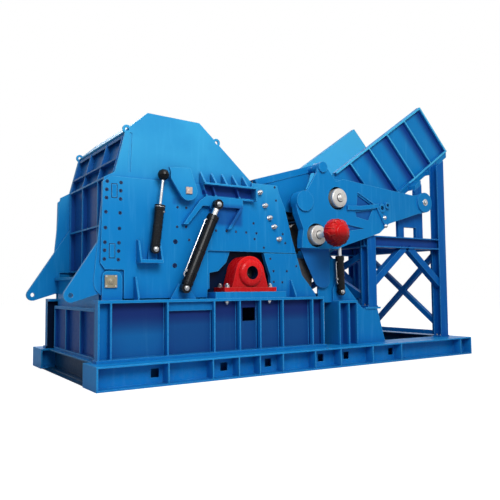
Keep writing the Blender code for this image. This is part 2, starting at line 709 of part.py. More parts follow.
def under_roof(x):
    """Height just below the roof sheet's inner face above a point on the hood's left end."""
    slope = (HOOD_PEAK[1] - HOOD_EAVE[1]) / (HOOD_PEAK[0] - HOOD_EAVE[0])
    drop = (ROOF_MARGIN + ROOF_PLATE + SEAT) * math.sqrt(1.0 + slope * slope)
    return HOOD_EAVE[1] + slope * (x - HOOD_EAVE[0]) - drop


def hood_roof(name):
    """Folded roof sheet between the two side plates."""
    half = HOOD_FRONT - HOOD_PLATE - SEAT
    line = [HOOD_EAVE, HOOD_PEAK, HOOD_CREST, HOOD_SLOPE_END]
    outer = offset_line(line, -ROOF_MARGIN)
    inner = offset_line(line, -ROOF_MARGIN - ROOF_PLATE)
    shapes = [prism(outer + list(reversed(inner)), -half, half)]
    piece(name, shapes, origin=(HINGE[0], 0.0, HINGE[1]))


def hood_end(name):
    """Ribbed left end of the tilting housing, cut off just below the roof sheet."""
    half = HOOD_FRONT - HOOD_PLATE - EAR_PLATE - SEAT
    shoulder = (HOOD_END_X, HOOD_SHOULDER[1])
    eave = (HOOD_END_X + HOOD_EAVE[0] - HOOD_SHOULDER[0], HOOD_EAVE[1])
    line = [(HOOD_END_X, HOOD_END_BOTTOM), shoulder,
            along(shoulder, eave, math.dist(shoulder, eave) + 0.15)]
    shapes = [prism(line + list(reversed(offset_line(line, -HOOD_END_PLATE))), -half, half)]
    ribs = offset_line(line, HOOD_END_RIB) + list(reversed(offset_line(line, -HOOD_END_PLATE / 2)))
    for y in (-half + HOOD_RIB_THICKNESS / 2, -END_RIB_Y, END_RIB_Y, half - HOOD_RIB_THICKNESS / 2):
        shapes.append(prism(ribs, y - HOOD_RIB_THICKNESS / 2, y + HOOD_RIB_THICKNESS / 2))
    face = HOOD_END_X - HOOD_END_RIB
    for z in (HOOD_END_BOTTOM, HOOD_END_RAIL, HOOD_SHOULDER[1] - HOOD_RIB_THICKNESS):
        shapes.append(block((face, HOOD_END_X + HOOD_END_PLATE / 2), (-half, half),
                            (z, z + HOOD_RIB_THICKNESS)))
    middle = along(shoulder, eave, math.dist(shoulder, eave) * HOOD_END_MIDDLE)
    shapes.append(block((middle[0] - HOOD_END_RIB - 0.01, middle[0] + 0.02), (-half, half),
                        (middle[1], middle[1] + HOOD_RIB_THICKNESS)))
    left, right = HOOD_EAVE[0] - 0.30, HOOD_EAVE[0] + 0.50
    sill = [(HOOD_EAVE[0] - 0.01, under_roof(HOOD_EAVE[0])), (eave[0] + 0.02, under_roof(eave[0] + 0.02)),
            (eave[0] + 0.02, under_roof(eave[0]) - HOOD_RIB_THICKNESS),
            (HOOD_EAVE[0] - 0.01, under_roof(HOOD_EAVE[0]) - 0.06)]
    shapes.append(prism(sill, -half, half))
    cuts = [prism([(left, under_roof(left)), (right, under_roof(right)), (right, 5.0), (left, 5.0)],
                  -half - 0.1, half + 0.1)]
    piece(name, shapes, cuts, origin=(HINGE[0], 0.0, HINGE[1]))


def housing_bracket(name, side):
    """Shelf with gussets above and an arched plate below, which takes the lift cylinder's upper pin."""
    wall = side * (HOOD_FRONT + OVERLAY + SEAT)
    front = side * BRACKET_FRONT
    back = side * (BRACKET_FRONT - ARCH_BACK)
    shelf = (BRACKET_SHELF - BRACKET_PLATE / 2, BRACKET_SHELF + BRACKET_PLATE / 2)
    shapes = [block((BRACKET_LEFT, BRACKET_RIGHT), (wall, front), shelf)]
    pitch = (BRACKET_RIGHT - 0.24 - BRACKET_LEFT) / (BRACKET_GUSSETS - 1)
    for i in range(BRACKET_GUSSETS):
        x = BRACKET_LEFT + pitch * i
        shapes.append(prism([(wall, BRACKET_SHELF), (front, BRACKET_SHELF),
                             (wall, BRACKET_SHELF + BRACKET_GUSSET)],
                            x, x + BRACKET_PLATE, "x"))
    arch = [ARCH_FOOT_LEFT, (ARCH_FOOT_LEFT[0] + 0.09, ARCH_FOOT_LEFT[1]), (-2.44, ARCH_SOFFIT),
            (ARCH_RIGHT - 0.06, ARCH_SOFFIT),
            (ARCH_FOOT_RIGHT[0] - 0.03, ARCH_FOOT_RIGHT[1]),
            (ARCH_FOOT_RIGHT[0] + 0.03, ARCH_FOOT_RIGHT[1]),
            (ARCH_RIGHT, ARCH_SOFFIT), (ARCH_RIGHT, ARCH_TOP), (-2.36, ARCH_TOP), (-2.50, ARCH_TOP - 0.10)]
    shapes.append(prism(arch, wall, back))
    for start in (BRACKET_LEFT + 0.02, BRACKET_LEFT + 0.22, -1.70):
        shapes.append(strut((start, BRACKET_SHELF), (start + 0.09, ARCH_TOP - 0.02), 0.03, wall, back))
    shapes.append(block((BRACKET_RIGHT - BRACKET_PLATE, BRACKET_RIGHT), (wall, front),
                        (3.33, BRACKET_SHELF)))
    shapes.append(block((ARCH_RIGHT - 0.02, BRACKET_RIGHT), (wall, back), (3.33, 3.365)))
    shapes.append(disc(LIFT_TOP, 0.10, wall, back, PIN_SIDES))
    piece(name, shapes, origin=(HINGE[0], 0.0, HINGE[1]))


def casing_lower(name, side):
    """Fixed lower right part of the casing, between the bearing and the feed opening."""
    foot = PED_TOP + SEAT
    outline = [(OPEN_RIGHT_EDGE[-1][0], PAD_TOP + SEAT), (PAD_RIGHT + 0.01, PAD_TOP + SEAT),
               (PAD_RIGHT + 0.01, foot),
               (0.345, foot), EDGE_FOOT, EDGE_LOWER, EDGE_SEAM] + OPEN_RIGHT_EDGE
    shapes = [prism(outline, side * (HOOD_FRONT - HOOD_PLATE), side * (HOOD_FRONT + OVERLAY))]
    shapes.append(prism([(side * (HOOD_FRONT + OVERLAY / 2), foot), (side * (PED_FRONT - 0.05), foot),
                         (side * (PED_FRONT - 0.05), foot + 0.05),
                         (side * (HOOD_FRONT + OVERLAY + 0.04), foot + 0.35),
                         (side * (HOOD_FRONT + OVERLAY / 2), foot + 0.35)], -0.36, -0.33, "x"))
    piece(name, shapes)


def anvil(name):
    """Heavy cross box below the feed rollers, where the hammers shear the scrap."""
    half = HOOD_FRONT - HOOD_PLATE - SEAT
    outline = [(-0.20, 1.95), (0.12, 1.55), (0.28, 1.55), (0.33, 1.95), (0.33, 2.10), (0.10, 2.24),
               (-0.20, 2.24)]
    piece(name, [prism(outline, -half, half)])


def bearing(name, side):
    """Split pillow block: foot, flared body, round housing and a raised boss round the bore."""
    cx, cz = ROTOR
    foot = PAD_TOP + SEAT
    outer, inner = side * BEARING_OUTER, side * BEARING_INNER
    shapes = [block((cx - BEARING_HALF_WIDTH, cx + BEARING_HALF_WIDTH), (outer, inner),
                    (foot, foot + BEARING_FOOT))]
    body = [(cx - BEARING_ARCH_R - 0.10, foot + BEARING_FOOT / 2),
            (cx + BEARING_ARCH_R + 0.10, foot + BEARING_FOOT / 2)]
    body += arc((cx, cz), BEARING_ARCH_R, 8.0, 172.0, 16)
    shapes.append(prism(body, side * (BEARING_OUTER - 0.03), side * (BEARING_INNER + 0.03)))
    rise = BEARING_OUTER + BEARING_BOSS
    shapes.append(revolve(ROTOR, [(BEARING_OUTER - 0.10, BEARING_BOSS_R), (rise - 0.045, BEARING_BOSS_R),
                                  (rise - 0.018, BEARING_BOSS_R - 0.018), (rise, BEARING_BOSS_R - 0.055)],
                                  side))
    cuts = [bore(ROTOR, SHAFT_R, side * (BEARING_INNER - 0.1), side * (BEARING_OUTER + 0.2))]
    piece(name, shapes, cuts, finish=material(name + "_red", RED, 0.35, 0.0), smooth=True)


def rotor(name):
    """Shaft with a row of discs and swing hammers between them."""
    cx, cz = ROTOR
    shapes = [disc(ROTOR, SHAFT_R, -SHAFT_HALF, SHAFT_HALF), disc(ROTOR, HUB_R, -DISC_HALF, DISC_HALF)]
    pitch = (2 * DISC_HALF - DISC_THICKNESS) / (DISC_COUNT - 1)
    for i in range(DISC_COUNT):
        y = -DISC_HALF + pitch * i
        shapes.append(disc(ROTOR, DISC_R, y, y + DISC_THICKNESS))
    for i in range(DISC_COUNT - 1):
        low = -DISC_HALF + pitch * i + DISC_THICKNESS / 2
        high = low + pitch
        for k in range(2):
            angle = math.radians(180.0 * k + 60.0 * i)
            near = (cx + 0.45 * math.cos(angle), cz + 0.45 * math.sin(angle))
            far = (cx + HAMMER_TIP * math.cos(angle), cz + HAMMER_TIP * math.sin(angle))
            shapes.append(strut(near, far, HAMMER_WIDTH, low, high))
    piece(name, shapes, finish=material(name + "_steel", DARK_STEEL, 0.5, 0.9), origin=(cx, 0.0, cz))


def gate(name):
    """Reject gate: a shaft across the hood with a flap inside and a lever plate on each end."""
    cx, cz = GATE
    shapes = [disc(GATE, GATE_SHAFT_R, -(LEVER_OUTER - LEVER_PLATE / 2), LEVER_OUTER - LEVER_PLATE / 2,
                   PIN_SIDES)]
    half = HOOD_FRONT - HOOD_PLATE - SWING
    shapes.append(strut((cx, cz), (cx - FLAP_LENGTH * 0.5, cz - FLAP_LENGTH), FLAP_PLATE, -half, half))
    shapes.append(disc(GATE, GATE_SHAFT_R + 0.05, -half, half, PIN_SIDES))
    for side in (-1, 1):
        edge = GATE_BALL[0] + GATE_BALL_R + LEVER_GAP
        plate = [(cx + 0.12, cz + 0.20), (cx + 0.04, cz + 0.42), (edge - 0.03, GATE_BALL[1] + 0.15),
                 (edge, GATE_BALL[1] + 0.05), (edge, GATE_BALL[1] - 0.05)]
        plate += arc(GATE, LEVER_ROUND, 215.0, 375.0, 12)
        shapes.append(prism(plate, side * (LEVER_OUTER - LEVER_PLATE), side * LEVER_OUTER))
        half_square = GATE_SQUARE / 2
        shapes.append(block((cx - half_square, cx + half_square),
                            (side * (LEVER_OUTER - 0.01), side * (LEVER_OUTER + 0.03)),
                            (cz - half_square, cz + half_square)))
    piece(name, shapes, origin=(cx, 0.0, cz))


def lug_face(cylinder_y, radius):
    """Face of the lug that a cylinder's pin goes into, clear of the barrel's collar."""
    return cylinder_y - radius - COLLAR - PIN_GAP


def barrel(name, eye, head, length, radius, rod, y, eye_r, stroke):
    """Cylinder barrel with its lower eye and pin, bored for the rod."""
    side = math.copysign(1.0, y)
    start = along(eye, head, eye_r * 0.6)
    end = along(eye, head, length)
    shapes = [bar(start, end, radius, y, 20), disc(eye, eye_r, y - eye_r * 0.55, y + eye_r * 0.55,
                                                   PIN_SIDES),
              bar(along(eye, head, length - 0.07), along(eye, head, length + 0.02), radius + COLLAR, y, 20),
              disc(eye, PIN_R, side * (lug_face(abs(y), radius) - PED_RIB),
                   y + side * (eye_r * 0.55 + 0.02), 12)]
    depth = length - stroke - 0.02
    cuts = [bar(along(eye, head, depth), along(eye, head, length + 0.1), rod + RUNNING, y, 12)]
    piece(name, shapes, cuts, finish=material(name + "_black", BLACK, 0.22, 0.0),
          origin=(eye[0], y, eye[1]), smooth=True)


def ram(name, eye, head, length, radius, y, eye_r, stroke, ball=False):
    """Cylinder rod with its upper eye or ball."""
    side = math.copysign(1.0, y)
    reach = math.dist(eye, head)
    shapes = [bar(along(eye, head, length - stroke - 0.012), along(eye, head, reach - eye_r * 0.5), radius,
                  y, 12)]
    if ball:
        ball_shape = bmesh.new()
        bmesh.ops.create_uvsphere(ball_shape, u_segments=16, v_segments=8, radius=eye_r)
        bmesh.ops.translate(ball_shape, vec=Vector((head[0], y, head[1])), verts=ball_shape.verts)
        shapes.append(ball_shape)
    else:
        shapes.append(disc(head, eye_r, y - eye_r * 0.55, y + eye_r * 0.55, PIN_SIDES))
        shapes.append(bar(along(eye, head, reach - eye_r - 0.06), along(eye, head, reach - eye_r * 0.4),
                          eye_r * 0.6, y, 12))
        shapes.append(disc(head, PIN_R, y - side * (eye_r * 0.55 + 0.015),
                           y + side * (eye_r * 0.55 + 0.015), 12))
    piece(name, shapes, finish=material(name + "_black", BLACK, 0.2, 0.2), origin=(head[0], y, head[1]),
          smooth=True)


def arm_side(name, side):
    """Feed arm plate with a box behind the rollers, corner bosses, pivot boss and the shield below."""
    front, back = side * ARM_FRONT, side * ARM_BACK
    outline = [(0.95, 3.97), (2.064, 3.877), (3.177, 3.792)] + arc(ARM_PIVOT, ARM_BOSS_R, 70.0, -80.0, 10)
    outline += [(3.314, 3.361), (2.325, 3.069), (2.021, 2.839), (1.068, 2.551), (0.75, 2.44), (-0.20, 2.44),
                (-0.20, 2.62),
                (-0.165, 2.82), (-0.308, 3.15)]
    outline += arc(ARM_SIDE_BOSS, ARM_SIDE_R, 200.0, 75.0, 6)
    outline += [(-0.03, 3.68), (0.21, 4.05)] + arc(ARM_CORNER_BOSS, ARM_CORNER_R, 190.0, 40.0,
                                                   7) + [(0.56, 4.10), (0.74, 3.90)]
    shapes = [prism(outline, front, side * ARM_PLATE_BACK),
              prism(ARM_BOX, side * (ARM_FRONT - 0.01), back)]
    rise = side * (ARM_FRONT + ARM_BOSS)
    shapes.append(disc(ARM_CORNER_BOSS, ARM_CORNER_R, back, rise))
    shapes.append(disc(ARM_SIDE_BOSS, ARM_SIDE_R, back, rise))
    shapes.append(disc(ARM_PIVOT, ARM_BOSS_R, side * (ARM_FRONT - 0.04), rise))
    shapes.append(disc(ARM_PIVOT, ARM_PIVOT_R, side * (ARM_FRONT - 0.01), side * (STAND_OUTER - 0.06),
                       PIN_SIDES))
    shield = list(SHIELD_LEFT + SHIELD_FOOT) + [(SHIELD_FOOT[-1][0], SHIELD_LEFT[0][1])]
    shapes.append(prism(shield, side * ARM_BACK, side * (ARM_BACK + SHIELD_PLATE)))
    for trim, proud in ((ARM_CHANNEL, 0.055), (ARM_GUSSET_LIP, 0.035), (ARM_LINK, 0.045)):
        shapes.append(prism(trim, side * (ARM_FRONT - 0.02), side * (ARM_FRONT + proud)))
    cuts = []
    for centre, radius in ARM_EARS:
        shapes.append(disc(centre, radius, side * (ARM_FRONT - 0.02), side * (ARM_FRONT + 0.06), PIN_SIDES))
        cuts.append(disc(centre, radius * 0.55, side * (ARM_FRONT + 0.01), side * (ARM_FRONT + 0.10), 12))
    for pocket in (ARM_GUSSET_POCKET, ARM_CHANNEL_POCKET, ARM_LOWER_POCKET):
        cuts.append(prism(pocket, side * (ARM_FRONT - ARM_POCKET), side * (ARM_FRONT + 0.01)))
    for centre in (ROLLER_UPPER, ROLLER_LOWER):
        cuts.append(disc(centre, ROLLER_HOLE_R, side * (ARM_FRONT - ROLLER_CAP_BACK - 0.01),
                         side * (ARM_FRONT + 0.1)))
        cuts.append(bore(centre, ROLLER_SHAFT_R, side * (ARM_BACK - 0.1), side * (ARM_FRONT + 0.1),
                         PIN_SIDES))
    cuts.append(block((ARM_TOP[0] - 0.22, ARM_TOP[0] + 0.22),
                      (side * (ARM_CYL_Y - 0.075), side * (ARM_CYL_Y + 0.075)),
                      (2.30, ARM_TOP[1] + 0.16)))
    piece(name, shapes, cuts, origin=(ARM_PIVOT[0], 0.0, ARM_PIVOT[1]))


def arm_cover(name):
    """Roof over the feed throat, with a beam along each edge, carried between the two arm plates."""
    half = COVER_HALF
    top_right = (ARM_CORNER_BOSS[0] + 0.10, ARM_CORNER_BOSS[1] + 0.13)
    line = [COVER_LEFT, top_right]
    beam = line + list(reversed(offset_line(line, -COVER_BEAM)))
    pocket = offset_line([along(COVER_LEFT, top_right, -0.2), along(top_right, COVER_LEFT, -0.2)],
                         -COVER_PLATE)
    pocket += list(reversed(offset_line(pocket, -COVER_BEAM)))
    cheek = [along(COVER_LEFT, top_right, 0.05), along(top_right, COVER_LEFT, 0.06)]
    cheek = offset_line(cheek, -COVER_BEAM / 2) + [(0.33, 3.95), (-0.04, 3.22), (-0.30, 3.22),
                                                   (-0.545, 3.50)]
    shapes = [prism(beam, -half, half)]
    for side in (-1, 1):
        shapes.append(prism(cheek, side * (half - 0.02), side * (half - 0.05)))
    reach = ARM_BACK - SEAT
    shapes.append(disc(ARM_CORNER_BOSS, ARM_CORNER_R * 0.6, -reach, reach, PIN_SIDES))
    shapes.append(disc(ARM_SIDE_BOSS, ARM_SIDE_R * 0.45, -reach, reach, PIN_SIDES))
    cuts = [prism(pocket, -half + 0.10, half - 0.10)]
    piece(name, shapes, first_cuts=cuts, origin=(ARM_PIVOT[0], 0.0, ARM_PIVOT[1]))


def roller(name, centre, drive_side):
    """Feed roller: toothed drum, through shaft and a steel cap outside each arm plate."""
    reach = ARM_FRONT
    drive = MOTOR_INNER + MOTOR_SOCKET - SHAFT_END_GAP
    ends = (-drive if drive_side < 0 else -reach, drive if drive_side > 0 else reach)
    shapes = [disc(centre, ROLLER_SHAFT_R, ends[0], ends[1], PIN_SIDES),
              disc(centre, ROLLER_R, -ROLLER_HALF, ROLLER_HALF)]
    for i in range(ROLLER_BARS):
        angle = math.radians(360.0 * i / ROLLER_BARS)
        way = (math.cos(angle), math.sin(angle))
        near = (centre[0] + way[0] * (ROLLER_R - 0.05), centre[1] + way[1] * (ROLLER_R - 0.05))
        far = (centre[0] + way[0] * (ROLLER_R + ROLLER_BAR), centre[1] + way[1] * (ROLLER_R + ROLLER_BAR))
        shapes.append(strut(near, far, 0.05, -ROLLER_HALF + 0.05, ROLLER_HALF - 0.05))
    for side in (-1, 1):
        face = ARM_FRONT + ROLLER_CAP
        shapes.append(revolve(centre, [(ARM_FRONT - ROLLER_CAP_BACK, ROLLER_CAP_R),
                                       (face - 0.012, ROLLER_CAP_R),
                                       (face, ROLLER_CAP_R - 0.012)], side))
        shapes.append(disc(centre, ROLLER_HUB_R, side * (face - 0.01), side * (face + 0.03), PIN_SIDES))
    piece(name, shapes, finish=material(name + "_steel", STEEL, 0.35, 0.9),
          origin=(centre[0], 0.0, centre[1]), smooth=True)


def motor(name, centre, side):
    """Radial piston motor on the roller's shaft, held by a torque arm from the arm plate."""
    ball = [(0.0, 0.52), (0.06, 0.80), (0.16, 0.95), (0.34, 1.0), (0.58, 0.99), (0.76, 0.90), (0.90, 0.70),
            (1.0, 0.36)]
    shapes = [revolve(centre, [(MOTOR_INNER + MOTOR_DEPTH * t, MOTOR_R * r) for t, r in ball], side,
                      MOTOR_LOBES * 2, 0.955)]
    post_x = centre[0] + TORQUE_ARM
    shapes.append(strut(centre, (post_x + 0.04, centre[1]), 0.12, side * MOTOR_INNER,
                        side * (MOTOR_INNER + 0.05)))
    shapes.append(disc((post_x, centre[1]), 0.05, side * (ARM_FRONT + SEAT), side * (MOTOR_INNER + 0.05),
                       12))
    cuts = [bore(centre, ROLLER_SHAFT_R, side * (MOTOR_INNER - 0.05), side * (MOTOR_INNER + MOTOR_SOCKET),
                 PIN_SIDES)]
    piece(name, shapes, cuts, finish=material(name + "_red", RED, 0.35, 0.0), smooth=True,
          origin=(ARM_PIVOT[0], 0.0, ARM_PIVOT[1]))


def right_pedestal(name, side):
    """Ribbed box, wedge under the left tower post and the gusset behind the arm cylinder."""
    floor = BASE_HEIGHT + SEAT
    front, inner = side * PED_FRONT, side * BOX_INNER
    wall = side * (PED_FRONT - 0.20)
    shapes = [block((BOX_LEFT, BOX_RIGHT), (front, inner), (BOX_TOP - PED_PLATE, BOX_TOP)),
              block((BOX_LEFT, BOX_RIGHT + 0.03), (wall, inner), (floor, BOX_TOP))]
    for x in (BOX_LEFT, (BOX_LEFT + BOX_RIGHT) / 2, BOX_RIGHT - PED_RIB):
        shapes.append(block((x, x + PED_RIB), (front, inner), (floor, BOX_TOP)))
    wedge = [(BOX_RIGHT - 0.02, floor), (WEDGE_FOOT, floor), (POST_LEFT + POST_WIDTH, WEDGE_TOP),
             (WEDGE_LEFT, WEDGE_TOP),
             (BOX_RIGHT - 0.02, BOX_TOP)]
    shapes.append(prism(wedge, side * TOWER_OUTER, side * TOWER_INNER))
    shapes.append(block((WEDGE_LEFT + 0.06, POST_LEFT + POST_WIDTH + 0.08),
                        (side * (TOWER_OUTER + 0.03), side * TOWER_INNER),
                        (WEDGE_TOP - 0.01, WEDGE_TOP + FOOT_PLATE)))
    gusset_y = lug_face(ARM_CYL_Y, ARM_BARREL_R)
    gusset = [(ARM_EYE[0] - 0.14, BOX_TOP - 0.02), (BOX_RIGHT + 0.30, WEDGE_TOP + 0.05),
              (ARM_EYE[0] + 0.10, CYL_GUSSET_TOP),
              (ARM_EYE[0] - 0.02, CYL_GUSSET_TOP), (ARM_EYE[0] - 0.14, ARM_EYE[1] + 0.05)]
    shapes.append(prism(gusset, side * gusset_y, side * (gusset_y - PED_RIB)))
    throat = [(THROAT_LEFT, BOX_TOP - 0.035), (THROAT_RIGHT, BOX_TOP - 0.035), (THROAT_RIGHT, THROAT_TOP),
              (THROAT_LEFT + 0.20, THROAT_TOP), (THROAT_LEFT, THROAT_TOP - 0.25)]
    shapes.append(prism(throat, side * THROAT_OUTER, side * (THROAT_OUTER - THROAT_PLATE)))
    cuts = [bore(ARM_EYE, PIN_R, side * (gusset_y - 0.05), side * (gusset_y + 0.02), 12)]
    piece(name, shapes, cuts)


def tower_frame(name, side):
    """Two H posts, the beam between them and the two knee braces, welded up flat."""
    outer, inner = side * TOWER_OUTER, side * TOWER_INNER
    left = (POST_LEFT, POST_LEFT + POST_WIDTH)
    right = (POST_RIGHT, POST_RIGHT + POST_WIDTH)
    beside = chute_line(-POST_RISE)
    shapes = []
    for x, low, high in ((left, WEDGE_TOP + FOOT_PLATE + SEAT, TOWER_BEAM_TOP),
                         (right, BASE_HEIGHT + SEAT, CHUTE_LIP[1])):
        middle = (x[0] + x[1]) / 2
        shapes.append(block(x, (outer, outer - side * POST_FLANGE), (low, high)))
        shapes.append(block(x, (inner, inner + side * POST_FLANGE), (low, high)))
        shapes.append(block((middle - POST_FLANGE / 2, middle + POST_FLANGE / 2), (outer, inner),
                            (low, high)))
        shapes.append(block((x[0] - 0.03, x[1] + 0.03), (outer, inner), (low, low + FOOT_PLATE)))
    y = (min(outer, inner), max(outer, inner))
    shapes += beam_section((left[0], right[1]), y, (TOWER_BEAM_BOTTOM, TOWER_BEAM_TOP), "y")
    half = BRACE / 2
    apex = (left[1] + right[0]) / 2
    centre = (outer + inner) / 2
    for foot_x, top_x in ((left[1], apex - half), (right[0], apex + half)):
        foot, top = (foot_x, KNEE_Z), (top_x, TOWER_BEAM_BOTTOM + FLANGE / 2)
        end = along(top, foot, math.dist(top, foot) + POST_WIDTH * 0.48)
        shapes.append(strut(end, top, BRACE, centre - half, centre + half))
    low, high = right[0] - 0.2, right[1] + 0.2
    cuts = [prism([(low, beside(low)), (high, beside(high)), (high, 7.0), (low, 7.0)], y[0] - 0.1,
                  y[1] + 0.1)]
    piece(name, shapes, cuts)


def chute_line(drop):
    """Height of a line parallel to the chute's bottom, a distance below it, as a function of X."""
    fall = drop * math.sqrt(1.0 + CHUTE_SLOPE * CHUTE_SLOPE)
    return lambda x: CHUTE_LIP[1] + CHUTE_SLOPE * (x - CHUTE_LIP[0]) - fall


def chute_top_left():
    """Upper left corner of the chute's side wall."""
    return (CHUTE_LEFT, CHUTE_PEAK[1] - CHUTE_SLOPE * (CHUTE_PEAK[0] - CHUTE_LEFT))


def tower_cross(name, x, ends_low, ends_high):
    """Beam across the tower with two crossing braces below it."""
    half = TOWER_INNER - SEAT
    span = (x - 0.10, x + 0.10)
    shapes = beam_section(span, (-half, half), (TOWER_BEAM_BOTTOM, TOWER_BEAM_TOP), "x")
    top = TOWER_BEAM_BOTTOM + FLANGE / 2
    thickness = (x - 0.05, x + 0.05)
    shapes.append(strut((-half + 0.06, ends_low[0]), (ends_low[1], top), 0.13, *thickness, axis="x"))
    shapes.append(strut((-half + 0.06, ends_high[0]), (ends_high[1], ends_high[2]), 0.13, *thickness,
                        axis="x"))
    low = min(ends_low[0], ends_high[2]) - 0.02
    for y in (-half, half - 0.10):
        shapes.append(block((x - 0.05, x + 0.05), (y, y + 0.10), (low, top)))
    shapes.append(block((x - 0.05, x + 0.05), (-half, half), (low, low + 0.10)))
    piece(name, shapes)


def stand(name, side):
    """Frame on the tower beam: two posts, the block between them and the lug that holds the arm's pivot."""
    outer, inner = side * STAND_OUTER, side * TOWER_INNER
    foot = TOWER_BEAM_TOP + SEAT
    under = chute_line(LONGERON + SEAT)
    px, pz = ARM_PIVOT
    shapes = []
    for near, far in STAND_POSTS:
        left, right = px + near, px + far
        shapes.append(prism([(left, foot), (right, foot), (right, under(right)), (left, under(left))],
                            outer, inner))
    bottom = pz - STAND_BLOCK_DROP
    top = [(px + x, pz + z) for x, z in STAND_BLOCK]
    shapes.append(prism([(px + STAND_POSTS[0][0], bottom), (px + STAND_POSTS[1][1], bottom),
                         (px + STAND_POSTS[1][1], top[1][1]), (px + STAND_POSTS[0][0], top[0][1])], outer,
                         inner))
    shapes.append(prism([(px - 0.30, top[0][1]), (px + 0.18, top[0][1])] + arc(ARM_PIVOT, ARM_BOSS_R * 0.8,
                                                                               -10.0, 190.0, 12),
                        outer, inner))
    cuts = [bore(ARM_PIVOT, ARM_PIVOT_R, side * (TOWER_INNER + 0.02), side * (STAND_OUTER + 0.1),
                 PIN_SIDES)]
    piece(name, shapes, cuts)


def chute_side(name, side):
    """Side wall of the chute with a flange along its top and foot and slanting ribs outside."""
    wall = (side * CHUTE_WALL, side * (CHUTE_WALL + CHUTE_PLATE))
    flange = (side * CHUTE_WALL, side * CHUTE_OUTER)
    top_left = chute_top_left()
    under = chute_line(0.0)
    foot_x = CHUTE_LEFT + 0.25
    corner = (foot_x, under(foot_x))
    panel = [top_left, CHUTE_PEAK, CHUTE_LIP, corner, (CHUTE_LEFT, corner[1] + 0.20)]
    shapes = [prism(panel, *wall)]
    for line in ([top_left, CHUTE_PEAK], [corner, CHUTE_LIP],
                 [CHUTE_PEAK, along(CHUTE_LIP, CHUTE_PEAK, 0.02)]):
        sign = -1.0 if line[0] == top_left or line[0] == CHUTE_PEAK else 1.0
        strip = line + list(reversed(offset_line(line, sign * CHUTE_FLANGE)))
        shapes.append(prism(strip, *flange))
    for distance in CHUTE_RIBS:
        start = (CHUTE_PEAK[0] - distance, CHUTE_PEAK[1] - CHUTE_SLOPE * distance)
        end = (CHUTE_LIP[0] - distance, under(CHUTE_LIP[0] - distance))
        shapes.append(strut(along(start, end, 0.02), along(end, start, 0.02), CHUTE_RIB, *flange))
    piece(name, shapes)


def chute_floor(name):
    """Floor of the chute between its walls, with a longeron below each wall and bearers out to the posts."""
    upper = chute_line(SEAT)
    low = chute_line(CHUTE_FLOOR + SEAT)
    bearer = chute_line(BEARER_TOP)
    deep = chute_line(LONGERON)
    left, right = FLOOR_LEFT, CHUTE_LIP[0] - 0.02
    half = CHUTE_WALL - SEAT
    shapes = [prism([(left, low(left)), (right, low(right)), (right, upper(right)), (left, upper(left))],
                    -half, half)]
    start = POST_LEFT + POST_WIDTH + 0.05
    near, far = STAND_POSTS[1]
    stand_post = (ARM_PIVOT[0] + near + BEARER_MARGIN, ARM_PIVOT[0] + far - BEARER_MARGIN)
    tower_post = (POST_RIGHT + BEARER_MARGIN, POST_RIGHT + POST_WIDTH - BEARER_MARGIN)
    for side in (-1, 1):
        shapes.append(prism([(start, deep(start)), (right, deep(right)), (right, upper(right)),
                             (start, upper(start))],
                            side * (half - 0.05), side * (CHUTE_OUTER - LONGERON_SETBACK)))
        for span, reach in ((stand_post, STAND_OUTER), (tower_post, TOWER_INNER - SEAT)):
            a, b = span
            shapes.append(prism([(a, deep(a)), (b, deep(b)), (b, bearer(b)), (a, bearer(a))],
                                side * (half - 0.02), side * reach))
    piece(name, shapes)


def build():
    clear_scene()
    for label, side in (("front", -1), ("rear", 1)):
        base_beam("base_beam_" + label, side)
        pedestal("pedestal_" + label, side)
        hinge_pin("hinge_pin_" + label, side)
        housing_side("housing_side_" + label, side)
        housing_bracket("housing_bracket_" + label, side)
        casing_lower("casing_lower_" + label, side)
        bearing("bearing_" + label, side)
        arm_side("arm_side_" + label, side)
        right_pedestal("right_pedestal_" + label, side)
        tower_frame("tower_frame_" + label, side)
        stand("arm_stand_" + label, side)
        chute_side("chute_side_" + label, side)
        y = side * LIFT_CYL_Y
        barrel("lift_barrel_" + label, LIFT_EYE, LIFT_TOP, LIFT_BARREL_TOP, LIFT_BARREL_R, LIFT_ROD_R, y,
               LIFT_EYE_R,
               LIFT_BARREL_TOP - 0.16)
        ram("lift_rod_" + label, LIFT_EYE, LIFT_TOP, LIFT_BARREL_TOP, LIFT_ROD_R, y, LIFT_EYE_R,
            LIFT_BARREL_TOP - 0.20)
        y = side * GATE_CYL_Y
        barrel("gate_barrel_" + label, GATE_EYE, GATE_BALL, GATE_BARREL_TOP, GATE_BARREL_R, GATE_ROD_R, y,
               EYE_R,
               GATE_BARREL_TOP - 0.14)
        ram("gate_rod_" + label, GATE_EYE, GATE_BALL, GATE_BARREL_TOP, GATE_ROD_R, y, GATE_BALL_R, 0.25,
            ball=True)
        y = side * ARM_CYL_Y
        barrel("arm_barrel_" + label, ARM_EYE, ARM_TOP, ARM_BARREL_TOP, ARM_BARREL_R, ARM_ROD_R, y, EYE_R,
               ARM_BARREL_TOP - 0.13)
        ram("arm_rod_" + label, ARM_EYE, ARM_TOP, ARM_BARREL_TOP, ARM_ROD_R, y, EYE_R,
            ARM_BARREL_TOP - 0.16)
    cross_frame("cross_frame")
    pedestal_end("pedestal_end")
    pedestal_back("pedestal_back")
    hood_roof("hood_roof")
    hood_end("hood_end")
    anvil("anvil")
    rotor("rotor")
    gate("gate")
    arm_cover("arm_cover")
    roller("roller_upper", ROLLER_UPPER, 1)
    roller("roller_lower", ROLLER_LOWER, -1)
    motor("motor_lower", ROLLER_LOWER, -1)
    motor("motor_upper", ROLLER_UPPER, 1)
    tower_cross("tower_cross_left", POST_LEFT + POST_WIDTH / 2, *LEFT_BRACES)
    tower_cross("tower_cross_right", POST_RIGHT + POST_WIDTH / 2, *RIGHT_BRACES)
    chute_floor("chute_floor")


build()
